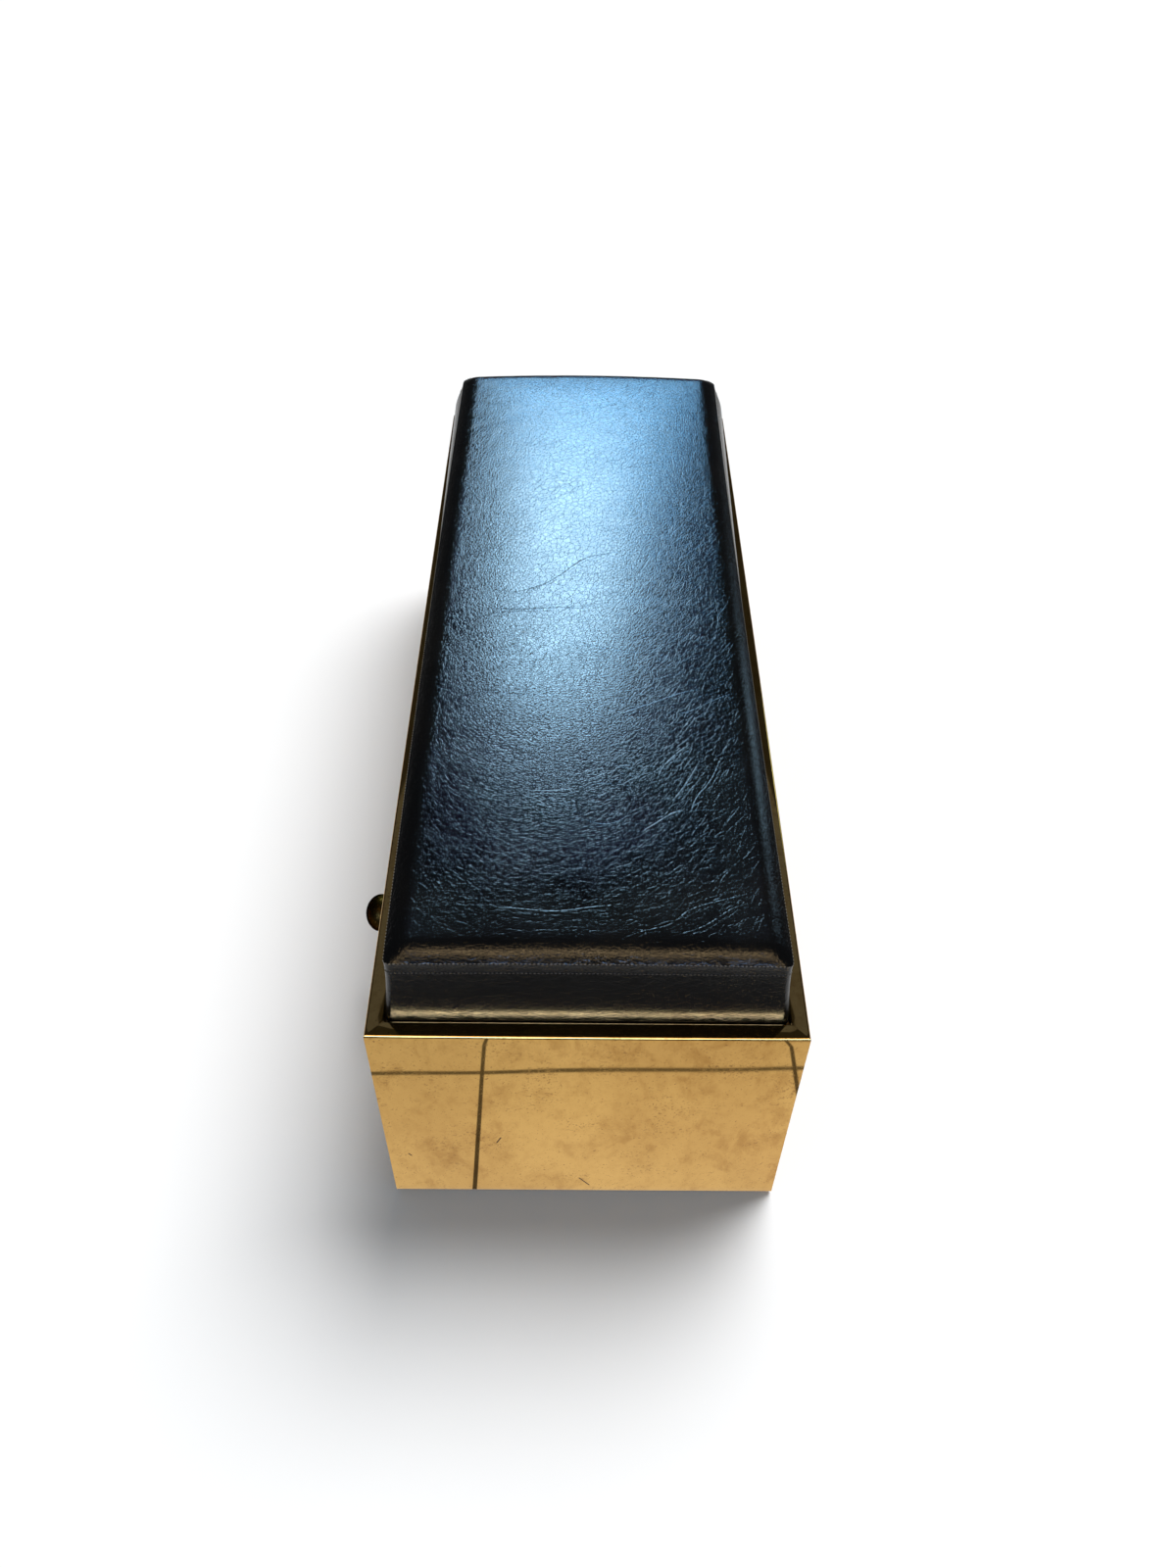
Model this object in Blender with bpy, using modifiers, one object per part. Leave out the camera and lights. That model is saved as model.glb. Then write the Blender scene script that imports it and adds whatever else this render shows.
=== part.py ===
"""Upholstered bench: a plywood box wrapped in folded brass, with a side drawer and a loose boxed cushion.

Units are metres and +Z is up. The box lies with its length along Y. The drawer, with its round
knob, opens towards -X from the front half of that side. The floor is at Z = 0.
"""

import math

import bmesh
import bpy
from mathutils import Vector

# Overall sizes
BENCH_LENGTH = 1.219
BENCH_WIDTH = 0.457
RIM_HEIGHT = 0.348
SEAT_RECESS = 0.022

# Sheet, boards and the gap between pieces that touch
BRASS = 0.0012
FOLD_RADIUS = 0.0025
HEM = 0.012
WALL = 0.016
FLOOR_BOARD = 0.012
DECK_BOARD = 0.015
DIVIDER_BOARD = 0.016
ARRIS = 0.0008
FIT = 0.0003

# Framing inside the box and the glides below it
CLEAT = 0.020
CORNER_BLOCK = 0.022
GLIDE_HEIGHT = 0.003
GLIDE_RADIUS = 0.014
GLIDE_EDGE = 0.001
GLIDE_INSET = 0.030

# Deck screws
SCREW_LENGTH = 0.030
SCREW_RADIUS = 0.002
SCREW_HEAD_RADIUS = 0.004
SCREW_HEAD_HEIGHT = 0.003
SCREW_POINT = 0.004
SCREW_END_DISTANCE = 0.120

# Drawer opening and front
OPENING_BASE = 0.040
OPENING_HEIGHT = 0.222
OPENING_STILE = 0.030
OPENING_LINING = 0.014
DRAWER_REVEAL = 0.002
DRAWER_FLANGE = 0.012

# Drawer box
BOX_CLEARANCE = 0.003
BOX_BOARD = 0.012
BOX_HEAD_GAP = 0.0306
BOX_REAR_SPACE = 0.012
BACK_RISE = 0.010
BACK_INSET = 0.008
HOUSING = 0.005
DRAWER_BASE = 0.006
DRAWER_BASE_RISE = 0.010

# Drawer runners and stops
DRAWER_TRAVEL = 0.280
RUN_CLEARANCE = 0.0006
RUNNER_RISE = 0.0008
GUIDE_HEIGHT = 0.030
KICKER_HEIGHT = 0.020
STOP_BAR = 0.012
STOP_BAR_LIFT = 0.003
STOP_BLOCK_WIDTH = 0.080
STOP_BLOCK_HEIGHT = 0.030

# Knob
KNOB_REACH = 0.058
KNOB_RADIUS = 0.0245
KNOB_THICKNESS = 0.040
KNOB_BORE_DEPTH = 0.018
STEM_SEAT_RADIUS = 0.011
STEM_WAIST_RADIUS = 0.0075
STEM_FOOT_RADIUS = 0.012
ROSE_RADIUS = 0.018
ROSE_HEIGHT = 0.003
ROSE_EDGE = 0.0015
BOLT_RADIUS = 0.0025
BOLT_HEAD_RADIUS = 0.006
BOLT_HEAD_HEIGHT = 0.003
BOLT_HEAD_FLAT = 0.004

# Cushion, with its gaps to the rim measured at its top seam
CUSHION_SIDE_GAP = 0.006
CUSHION_END_GAP = 0.0115
CUSHION_HEIGHT = 0.105
CUSHION_CROWN = 0.016
CUSHION_SWELL = 0.003
CUSHION_TUCK = 0.004
CUSHION_DRAW = 0.0025
CROWN_POWER_ACROSS = 5
CROWN_POWER_ALONG = 14
LEATHER = 0.0015

# Facets
FOLD_STEPS = 4
ROUND_STEPS = 24
SCREW_STEPS = 12
PROFILE_STEPS = 8
CUSHION_CELLS = (8, 12, 3)
MERGE_DISTANCE = 0.00001
SHARP_ANGLE = math.radians(40)

# Planes that follow from the sizes above
HALF_LENGTH = BENCH_LENGTH / 2
HALF_WIDTH = BENCH_WIDTH / 2
SKIN = BRASS + FIT
WALL_IN = SKIN + WALL
RIM_WIDTH = WALL_IN + SKIN
BASE_Z = GLIDE_HEIGHT + FIT
WALL_BOTTOM = BASE_Z + SKIN
WALL_TOP = RIM_HEIGHT - SKIN
INNER_HALF_WIDTH = HALF_WIDTH - WALL_IN
INNER_HALF_LENGTH = HALF_LENGTH - WALL_IN
FLOOR_TOP = BASE_Z + FLOOR_BOARD
DECK_TOP = RIM_HEIGHT - SEAT_RECESS
DECK_UNDERSIDE = DECK_TOP - DECK_BOARD
CLEAT_TOP = DECK_UNDERSIDE - FIT
CLEAT_BOTTOM = CLEAT_TOP - CLEAT
CUSHION_LENGTH = BENCH_LENGTH - 2 * (RIM_WIDTH + CUSHION_END_GAP)
CUSHION_WIDTH = BENCH_WIDTH - 2 * (RIM_WIDTH + CUSHION_SIDE_GAP)

# The drawer's bay runs from the front end panel to the divider at mid length
BAY_FRONT = -INNER_HALF_LENGTH
BAY_REAR = -DIVIDER_BOARD / 2
BAY_MIDDLE = (BAY_FRONT + BAY_REAR) / 2
BAY_HALF = (BAY_REAR - BAY_FRONT) / 2
OPENING_HALF = BAY_HALF - OPENING_STILE
OPENING_TOP = OPENING_BASE + OPENING_HEIGHT
KNOB_HEIGHT = OPENING_BASE + OPENING_HEIGHT / 2
BOX_HALF = OPENING_HALF - BOX_CLEARANCE
BOX_INNER_HALF = BOX_HALF - BOX_BOARD
RUNNER_TOP = OPENING_BASE + RUNNER_RISE
BOX_BOTTOM = RUNNER_TOP + RUN_CLEARANCE
BOX_TOP = OPENING_TOP - BOX_HEAD_GAP
GUIDE_TOP = RUNNER_TOP + GUIDE_HEIGHT
KICKER_BOTTOM = BOX_TOP + RUN_CLEARANCE
KICKER_COVER = BOX_BOARD - HOUSING - RUN_CLEARANCE
KICKER_HALF = BOX_HALF - KICKER_COVER
BOX_END = HALF_WIDTH - WALL_IN - BOX_REAR_SPACE
BACK_FAR = BOX_END - BACK_INSET
BACK_NEAR = BACK_FAR - BOX_BOARD
STOP_BAR_FACE = BACK_NEAR - DRAWER_TRAVEL - FIT

# The knob makes the box lopsided, so the bench is shifted to centre the whole part on the origin
BODY_SHIFT = KNOB_REACH / 2


def clear_scene():
    for old in list(bpy.data.objects):
        bpy.data.objects.remove(old, do_unlink=True)


def new_collection(name):
    made = bpy.data.collections.new(name)
    bpy.context.scene.collection.children.link(made)
    return made


def finish(name, colour, roughness, metallic=0.0):
    made = bpy.data.materials.new(name)
    made.use_nodes = True
    shader = made.node_tree.nodes["Principled BSDF"]
    shader.inputs["Base Color"].default_value = (*colour, 1.0)
    shader.inputs["Roughness"].default_value = roughness
    shader.inputs["Metallic"].default_value = metallic
    return made


clear_scene()
PARTS = new_collection("upholstered_bench")
CUTTERS = new_collection("upholstered_bench_cutters")

POLISHED_BRASS = finish("polished_brass", (0.83, 0.60, 0.26), 0.18, 1.0)
DARK_BRASS = finish("dark_brass", (0.45, 0.31, 0.11), 0.30, 1.0)
PLYWOOD = finish("plywood", (0.66, 0.50, 0.32), 0.60)
HARDWOOD = finish("hardwood", (0.52, 0.36, 0.21), 0.55)
STEEL = finish("zinc_steel", (0.62, 0.62, 0.60), 0.35, 1.0)
NYLON = finish("nylon_glide", (0.09, 0.08, 0.07), 0.50)
BLACK_LEATHER = finish("black_leather", (0.015, 0.016, 0.020), 0.38)
FOAM = finish("seat_foam", (0.80, 0.74, 0.55), 0.95)


# Helpers

def empty(name, parent, location):
    made = bpy.data.objects.new(name, None)
    made.parent = parent
    made.location = location
    PARTS.objects.link(made)
    return made


def place(name, data, material, parent, location=(0, 0, 0), rotation=(0, 0, 0)):
    """One named piece, set under its parent."""
    piece = bpy.data.objects.new(name, data)
    data.materials.append(material)
    piece.parent = parent
    piece.location = location
    piece.rotation_euler = rotation
    PARTS.objects.link(piece)
    return piece


def as_cutter(piece):
    """Takes a piece out of the model and keeps it as a cutting tool."""
    PARTS.objects.unlink(piece)
    CUTTERS.objects.link(piece)
    piece.hide_render = True
    piece.display_type = "WIRE"
    return piece


def board(name, low, high, material, parent, arris=ARRIS):
    """A sawn board between two corners, with its sharp edges eased."""
    low = Vector(low)
    high = Vector(high)
    mesh = bpy.data.meshes.new(name)
    form = bmesh.new()
    bmesh.ops.create_cube(form, size=1.0)
    bmesh.ops.scale(form, vec=high - low, verts=form.verts)
    form.to_mesh(mesh)
    form.free()
    piece = place(name, mesh, material, parent, (low + high) / 2)
    if arris:
        ease = piece.modifiers.new("arris", "BEVEL")
        ease.width = arris
        ease.segments = 1
    return piece


def boolean(piece, cutter, operation="DIFFERENCE"):
    made = piece.modifiers.new(cutter.name, "BOOLEAN")
    made.object = cutter
    made.operation = operation
    made.solver = "EXACT"


def cut_box(piece, name, low, high):
    cutter = board(name, low, high, PLYWOOD, piece.parent, arris=0)
    boolean(piece, as_cutter(cutter))


def turned(name, profile, material, parent, location, rotation=(0, 0, 0), ring=False, steps=ROUND_STEPS):
    """A lathe-turned piece about its own Z from (radius, height) points, given down the outer side."""
    mesh = bpy.data.meshes.new(name)
    count = len(profile)
    edges = [(step, step + 1) for step in range(count - 1)]
    if ring:
        edges.append((count - 1, 0))
    mesh.from_pydata([(radius, 0, height) for radius, height in profile], edges, [])
    piece = place(name, mesh, material, parent, location, rotation)
    screw = piece.modifiers.new("turn", "SCREW")
    screw.axis = "Z"
    screw.angle = math.tau
    screw.steps = steps
    screw.render_steps = steps
    screw.use_merge_vertices = True
    screw.merge_threshold = MERGE_DISTANCE
    screw.use_smooth_shade = True
    return piece


def outline(name, points, thickness, material, parent, location, rotation=(0, 0, 0)):
    """A flat piece sawn to an outline and as thick as given."""
    curve = bpy.data.curves.new(name, "CURVE")
    curve.dimensions = "2D"
    curve.fill_mode = "BOTH"
    curve.extrude = thickness / 2
    spline = curve.splines.new("POLY")
    spline.points.add(len(points) - 1)
    for point, (across, along) in zip(spline.points, points):
        point.co = (across, along, 0, 1)
    spline.use_cyclic_u = True
    return place(name, curve, material, parent, location, rotation)


BENCH = empty("bench", None, (BODY_SHIFT, 0, 0))


# Carcass

def end_panel(name, end):
    """A board across the box between the long sides: end is -1 for the front and 1 for the rear."""
    outer = end * (HALF_LENGTH - SKIN)
    inner = end * INNER_HALF_LENGTH
    half = INNER_HALF_WIDTH - FIT
    low = (-half, min(outer, inner), WALL_BOTTOM)
    high = (half, max(outer, inner), WALL_TOP)
    board(name, low, high, PLYWOOD, BENCH)


def left_wall_board(name, front, rear, bottom, top):
    low = (-HALF_WIDTH + SKIN, front, bottom)
    high = (-INNER_HALF_WIDTH, rear, top)
    board(name, low, high, PLYWOOD, BENCH)


def long_sides():
    """The right side is one board, and the left one is framed round the drawer's opening."""
    half = HALF_LENGTH - SKIN
    low = (INNER_HALF_WIDTH, -half, WALL_BOTTOM)
    high = (HALF_WIDTH - SKIN, half, WALL_TOP)
    board("right_side_panel", low, high, PLYWOOD, BENCH)
    sill = OPENING_BASE - SKIN
    head = OPENING_TOP + SKIN
    jamb_front = BAY_MIDDLE - OPENING_HALF - SKIN
    jamb_rear = BAY_MIDDLE + OPENING_HALF + SKIN
    left_wall_board("left_bottom_rail", -half, half, WALL_BOTTOM, sill)
    left_wall_board("left_top_rail", -half, half, head, WALL_TOP)
    left_wall_board("left_front_stile", -half, jamb_front, sill + FIT, head - FIT)
    left_wall_board("left_rear_panel", jamb_rear, half, sill + FIT, head - FIT)


def deck_screw_places():
    side = INNER_HALF_WIDTH - FIT - CLEAT / 2
    reach = INNER_HALF_LENGTH - SCREW_END_DISTANCE
    return [(x, y) for x in (-side, side) for y in (-reach, 0, reach)]


def deck_screw(name, x, y, clearance=0.0):
    """A countersunk wood screw with its head flush in the deck, or the hole it sits in."""
    shank = SCREW_RADIUS + clearance
    head = SCREW_HEAD_RADIUS + clearance
    top = DECK_TOP + clearance
    neck = DECK_TOP - SCREW_HEAD_HEIGHT - clearance
    tip = DECK_TOP - SCREW_LENGTH - clearance
    profile = [(0, top), (head, top), (shank, neck), (shank, tip + SCREW_POINT), (0, tip)]
    return turned(name, profile, STEEL, BENCH, (x, y, 0), steps=SCREW_STEPS)


def deck_and_cleats():
    half_width = INNER_HALF_WIDTH - FIT
    half_length = INNER_HALF_LENGTH - FIT
    deck_low = (-half_width, -half_length, DECK_UNDERSIDE)
    deck = board("seat_deck", deck_low, (half_width, half_length, DECK_TOP), PLYWOOD, BENCH)
    cleats = {}
    for name, side in (("deck_cleat_left", -1), ("deck_cleat_right", 1)):
        middle = side * (half_width - CLEAT / 2)
        low = (middle - CLEAT / 2, -half_length, CLEAT_BOTTOM)
        high = (middle + CLEAT / 2, half_length, CLEAT_TOP)
        cleats[side] = board(name, low, high, HARDWOOD, BENCH)
    for name, end in (("deck_cleat_front", -1), ("deck_cleat_rear", 1)):
        middle = end * (half_length - CLEAT / 2)
        reach = half_width - CLEAT - FIT
        low = (-reach, middle - CLEAT / 2, CLEAT_BOTTOM)
        high = (reach, middle + CLEAT / 2, CLEAT_TOP)
        board(name, low, high, HARDWOOD, BENCH)
    for number, (x, y) in enumerate(deck_screw_places(), 1):
        deck_screw(f"deck_screw_{number}", x, y)
        hole = as_cutter(deck_screw(f"deck_screw_hole_{number}", x, y, FIT))
        boolean(deck, hole)
        boolean(cleats[1 if x > 0 else -1], hole)


def floor_and_divider():
    """The floor board, and the divider notched round the long cleats."""
    half_width = INNER_HALF_WIDTH - FIT
    half_length = INNER_HALF_LENGTH - FIT
    low = (-half_width, -half_length, BASE_Z)
    board("floor_panel", low, (half_width, half_length, FLOOR_TOP), PLYWOOD, BENCH)
    notch = half_width - CLEAT - FIT
    step = CLEAT_BOTTOM - FIT
    foot = FLOOR_TOP + FIT
    top = DECK_UNDERSIDE - FIT
    right_edge = [(half_width, foot), (half_width, step), (notch, step), (notch, top)]
    left_edge = [(-across, height) for across, height in reversed(right_edge)]
    upright = (math.pi / 2, 0, 0)
    outline("centre_divider", right_edge + left_edge, DIVIDER_BOARD, PLYWOOD, BENCH, (0, 0, 0), upright)


def corner_blocks():
    """Three-cornered glue blocks that tie the ends to the sides."""
    bottom = GUIDE_TOP + FIT
    top = KICKER_BOTTOM - FIT
    leg = CORNER_BLOCK
    corner_x = INNER_HALF_WIDTH - FIT
    corner_y = INNER_HALF_LENGTH - FIT
    corners = (
        ("corner_block_front_left", -1, -1, 0),
        ("corner_block_front_right", 1, -1, 1),
        ("corner_block_rear_right", 1, 1, 2),
        ("corner_block_rear_left", -1, 1, 3),
    )
    for name, side, end, quarter in corners:
        seat = (side * corner_x, end * corner_y, (bottom + top) / 2)
        turn = (0, 0, quarter * math.pi / 2)
        outline(name, [(0, 0), (leg, 0), (0, leg)], top - bottom, HARDWOOD, BENCH, seat, turn)


def glides():
    edge = [
        (GLIDE_RADIUS - GLIDE_EDGE * (1 - math.cos(turn)), GLIDE_EDGE * (1 - math.sin(turn)))
        for turn in (0, math.pi / 6, math.pi / 3, math.pi / 2)
    ]
    profile = [(0, GLIDE_HEIGHT), (GLIDE_RADIUS, GLIDE_HEIGHT), *edge, (0, 0)]
    across = INNER_HALF_WIDTH - GLIDE_INSET
    reach = INNER_HALF_LENGTH - GLIDE_INSET
    for row, y in (("front", -reach), ("middle", 0), ("rear", reach)):
        for side, x in (("left", -across), ("right", across)):
            turned(f"glide_{row}_{side}", profile, NYLON, BENCH, (x, y, 0))


# Brass cladding

def folded_path(points, radius):
    """The path through the points with each square corner rounded."""
    path = [points[0]]
    for before, corner, after in zip(points, points[1:], points[2:]):
        back = (before - corner).normalized()
        ahead = (after - corner).normalized()
        centre = corner + (back + ahead) * radius
        for step in range(FOLD_STEPS + 1):
            turn = step / FOLD_STEPS * math.pi / 2
            path.append(centre - (ahead * math.cos(turn) + back * math.sin(turn)) * radius)
    path.append(points[-1])
    return path


def sheet_section():
    """The sheet's section as (inward, height): hem under the wall, up, over the rim and into the recess."""
    rim_end = DECK_TOP + FIT
    outside = [(HEM, BASE_Z), (0, BASE_Z), (0, RIM_HEIGHT), (RIM_WIDTH, RIM_HEIGHT), (RIM_WIDTH, rim_end)]
    inside = [
        (HEM, BASE_Z + BRASS),
        (BRASS, BASE_Z + BRASS),
        (BRASS, RIM_HEIGHT - BRASS),
        (RIM_WIDTH - BRASS, RIM_HEIGHT - BRASS),
        (RIM_WIDTH - BRASS, rim_end),
    ]
    outer = folded_path([Vector(point) for point in outside], FOLD_RADIUS)
    inner = folded_path([Vector(point) for point in inside], max(FOLD_RADIUS - BRASS, BRASS / 4))
    return outer + inner[::-1]


def cladding(name, half_length, location, turn):
    """One wall's folded sheet, mitred where it meets the next wall's sheet."""
    form = bmesh.new()
    near = [form.verts.new((inward, 0, height)) for inward, height in sheet_section()]
    section = form.faces.new(near)
    grown = bmesh.ops.extrude_face_region(form, geom=[section])
    far = [item for item in grown["geom"] if isinstance(item, bmesh.types.BMVert)]
    for end, corners in ((-1, near), (1, far)):
        for corner in corners:
            corner.co.y = end * (half_length - corner.co.x - FIT)
    bmesh.ops.recalc_face_normals(form, faces=form.faces)
    mesh = bpy.data.meshes.new(name)
    form.to_mesh(mesh)
    form.free()
    return place(name, mesh, POLISHED_BRASS, BENCH, location, (0, 0, turn))


def opening_box(name, low_x, high_x, margin):
    """A block as large as the drawer's opening plus a margin all round."""
    low = (low_x, BAY_MIDDLE - OPENING_HALF - margin, OPENING_BASE - margin)
    high = (high_x, BAY_MIDDLE + OPENING_HALF + margin, OPENING_TOP + margin)
    return as_cutter(board(name, low, high, POLISHED_BRASS, BENCH, arris=0))


def brass_skin():
    cladding("front_end_cladding", HALF_WIDTH, (0, -HALF_LENGTH, 0), math.pi / 2)
    cladding("rear_end_cladding", HALF_WIDTH, (0, HALF_LENGTH, 0), -math.pi / 2)
    cladding("right_side_cladding", HALF_LENGTH, (HALF_WIDTH, 0, 0), math.pi)
    left = cladding("left_side_cladding", HALF_LENGTH, (-HALF_WIDTH, 0, 0), 0)
    face = -HALF_WIDTH
    boolean(left, opening_box("opening_lining", face + BRASS / 2, face + OPENING_LINING, BRASS), "UNION")
    boolean(left, opening_box("opening_cut", face - WALL, face + WALL_IN, 0))


# Drawer bay

def runner(name, end):
    """A rebated batten on the bay's wall: a ledge under the drawer's side, and a guide beside it."""
    wall = end * (BAY_HALF - FIT)
    guide = end * (BOX_HALF + RUN_CLEARANCE)
    ledge = end * BOX_INNER_HALF
    bottom = FLOOR_TOP + FIT
    points = [
        (wall, bottom),
        (ledge, bottom),
        (ledge, RUNNER_TOP),
        (guide, RUNNER_TOP),
        (guide, GUIDE_TOP),
        (wall, GUIDE_TOP),
    ]
    across = (math.pi / 2, 0, math.pi / 2)
    length = 2 * (INNER_HALF_WIDTH - FIT)
    outline(name, points, length, HARDWOOD, BENCH, (0, BAY_MIDDLE, 0), across)


def kicker(name, end):
    """A batten over the drawer's side that keeps the drawer from tipping."""
    wall = BAY_MIDDLE + end * (BAY_HALF - FIT)
    reach = BAY_MIDDLE + end * KICKER_HALF
    half = INNER_HALF_WIDTH - FIT
    low = (-half, min(wall, reach), KICKER_BOTTOM)
    high = (half, max(wall, reach), KICKER_BOTTOM + KICKER_HEIGHT)
    board(name, low, high, HARDWOOD, BENCH)


def drawer_bay():
    runner("drawer_runner_front", -1)
    runner("drawer_runner_rear", 1)
    kicker("drawer_kicker_front", -1)
    kicker("drawer_kicker_rear", 1)
    reach = KICKER_HALF - FIT
    bar_low = (STOP_BAR_FACE - STOP_BAR, BAY_MIDDLE - reach, BOX_TOP + STOP_BAR_LIFT)
    bar_high = (STOP_BAR_FACE, BAY_MIDDLE + reach, KICKER_BOTTOM + KICKER_HEIGHT)
    board("drawer_stop_bar", bar_low, bar_high, HARDWOOD, BENCH)
    half = STOP_BLOCK_WIDTH / 2
    tall = STOP_BLOCK_HEIGHT / 2
    block_low = (BACK_FAR + FIT, BAY_MIDDLE - half, KNOB_HEIGHT - tall)
    block_high = (INNER_HALF_WIDTH - FIT, BAY_MIDDLE + half, KNOB_HEIGHT + tall)
    board("drawer_close_stop", block_low, block_high, HARDWOOD, BENCH)


# Drawer, built about the middle of its front face, with X running into the bench

DRAWER = empty("drawer", BENCH, (-HALF_WIDTH, BAY_MIDDLE, KNOB_HEIGHT))
SIDE_BOTTOM = BOX_BOTTOM - KNOB_HEIGHT
SIDE_TOP = BOX_TOP - KNOB_HEIGHT
BASE_BOTTOM = SIDE_BOTTOM + DRAWER_BASE_RISE
BASE_TOP = BASE_BOTTOM + DRAWER_BASE
SIDE_END = BOX_END + HALF_WIDTH
HOUSED = WALL_IN - HOUSING
FRONT_HALF = OPENING_HALF - DRAWER_REVEAL
FRONT_RISE = OPENING_HEIGHT / 2 - DRAWER_REVEAL
OUTWARD = (0, -math.pi / 2, 0)


def bolt_hole(name):
    radius = BOLT_RADIUS + FIT
    profile = [(0, WALL), (radius, WALL), (radius, -2 * WALL_IN), (0, -2 * WALL_IN)]
    return as_cutter(turned(name, profile, STEEL, DRAWER, (0, 0, 0), OUTWARD, steps=SCREW_STEPS))


def drawer_front(hole):
    """The front board, housed at the back for the sides and grooved for the base."""
    half = FRONT_HALF - SKIN
    rise = FRONT_RISE - SKIN
    front = board("drawer_front", (SKIN, -half, -rise), (WALL_IN, half, rise), PLYWOOD, DRAWER)
    for end in (-1, 1):
        outer = end * (BOX_HALF + FIT)
        inner = end * (BOX_INNER_HALF - FIT)
        low = (HOUSED, min(outer, inner), SIDE_BOTTOM - FIT)
        high = (WALL_IN + WALL, max(outer, inner), SIDE_TOP + FIT)
        cut_box(front, f"front_housing_{end}", low, high)
    low = (HOUSED, -BOX_INNER_HALF, BASE_BOTTOM - FIT)
    high = (WALL_IN + WALL, BOX_INNER_HALF, BASE_TOP + FIT)
    cut_box(front, "front_groove", low, high)
    boolean(front, hole)


def drawer_front_cladding(hole):
    """A brass tray folded back over the front board's four edges."""
    mesh = bpy.data.meshes.new("drawer_front_cladding")
    form = bmesh.new()
    bmesh.ops.create_cube(form, size=1.0)
    bmesh.ops.scale(form, vec=(DRAWER_FLANGE, 2 * FRONT_HALF, 2 * FRONT_RISE), verts=form.verts)
    bmesh.ops.translate(form, vec=(DRAWER_FLANGE / 2, 0, 0), verts=form.verts)
    back = max(form.faces, key=lambda face: face.calc_center_median().x)
    bmesh.ops.delete(form, geom=[back], context="FACES_ONLY")
    form.to_mesh(mesh)
    form.free()
    tray = place("drawer_front_cladding", mesh, POLISHED_BRASS, DRAWER)
    folds = tray.modifiers.new("folds", "BEVEL")
    folds.width = FOLD_RADIUS
    folds.segments = FOLD_STEPS
    sheet = tray.modifiers.new("sheet", "SOLIDIFY")
    sheet.thickness = BRASS
    sheet.offset = -1
    sheet.use_even_offset = True
    boolean(tray, hole)


def drawer_side(name, end):
    inner = end * BOX_INNER_HALF
    outer = end * BOX_HALF
    low = (HOUSED + FIT, min(inner, outer), SIDE_BOTTOM)
    high = (SIDE_END, max(inner, outer), SIDE_TOP)
    side = board(name, low, high, HARDWOOD, DRAWER)
    depth = end * (BOX_INNER_HALF + HOUSING)
    clear = end * (BOX_INNER_HALF - HOUSING)
    near = min(depth, clear)
    far = max(depth, clear)
    cut_box(side, f"{name}_groove", (0, near, BASE_BOTTOM - FIT), (BENCH_WIDTH, far, BASE_TOP + FIT))
    back_low = (BACK_NEAR + HALF_WIDTH - FIT, near, BASE_BOTTOM)
    back_high = (BACK_FAR + HALF_WIDTH + FIT, far, SIDE_TOP + BACK_RISE)
    cut_box(side, f"{name}_housing", back_low, back_high)


def drawer_box():
    drawer_side("drawer_side_front", -1)
    drawer_side("drawer_side_rear", 1)
    reach = BOX_INNER_HALF + HOUSING - FIT
    back_low = (BACK_NEAR + HALF_WIDTH, -reach, BASE_TOP + FIT)
    back_high = (BACK_FAR + HALF_WIDTH, reach, SIDE_TOP + BACK_RISE)
    board("drawer_back", back_low, back_high, HARDWOOD, DRAWER)
    base_low = (HOUSED + FIT, -reach + FIT, BASE_BOTTOM)
    board("drawer_bottom", base_low, (SIDE_END, reach - FIT, BASE_TOP), PLYWOOD, DRAWER, arris=0)


# Knob, turned about an axis that points out of the drawer's front

def knob_piece(name, profile, material=DARK_BRASS, ring=False, steps=ROUND_STEPS):
    return turned(name, profile, material, DRAWER, (0, 0, 0), OUTWARD, ring, steps)


def knob():
    """A round head on a waisted stem and a rose, drawn up by a bolt from inside the drawer."""
    bore = BOLT_RADIUS + FIT
    rose_top = ROSE_HEIGHT
    rose = [(ROSE_RADIUS - ROSE_EDGE, rose_top), (ROSE_RADIUS, rose_top - ROSE_EDGE), (ROSE_RADIUS, FIT)]
    knob_piece("knob_rose", [(bore, rose_top), *rose, (bore, FIT)], ring=True)

    half = KNOB_THICKNESS / 2
    middle = KNOB_REACH - half
    seat_turn = math.pi - math.asin(STEM_SEAT_RADIUS / KNOB_RADIUS)
    turns = [seat_turn * step / (2 * PROFILE_STEPS) for step in range(2 * PROFILE_STEPS + 1)]
    ball = [(KNOB_RADIUS * math.sin(turn), middle + half * math.cos(turn)) for turn in turns]
    seat = ball[-1][1]
    ball[0] = (0, KNOB_REACH)
    socket = [(bore, seat), (bore, seat + KNOB_BORE_DEPTH), (0, seat + KNOB_BORE_DEPTH)]
    knob_piece("knob", ball + socket)

    top = seat - FIT
    foot = rose_top + FIT
    stem = []
    for step in range(PROFILE_STEPS + 1):
        share = step / PROFILE_STEPS
        flank = STEM_SEAT_RADIUS + (STEM_FOOT_RADIUS - STEM_SEAT_RADIUS) * share
        radius = flank - (flank - STEM_WAIST_RADIUS) * math.sin(math.pi * share)
        stem.append((radius, top + (foot - top) * share))
    knob_piece("knob_stem", [(bore, top), *stem, (bore, foot)], ring=True)

    tip = seat + KNOB_BORE_DEPTH - FIT
    shoulder = -WALL_IN - FIT
    crown = shoulder - BOLT_HEAD_HEIGHT
    shank = [(0, tip), (BOLT_RADIUS, tip), (BOLT_RADIUS, shoulder), (BOLT_HEAD_RADIUS, shoulder)]
    head = [(BOLT_HEAD_RADIUS, shoulder - BOLT_HEAD_HEIGHT / 2), (BOLT_HEAD_FLAT, crown), (0, crown)]
    knob_piece("knob_bolt", shank + head, STEEL, steps=SCREW_STEPS)


# Cushion, built about the middle of its underside

CUSHION = empty("cushion", BENCH, (0, 0, DECK_TOP + FIT))


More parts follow.
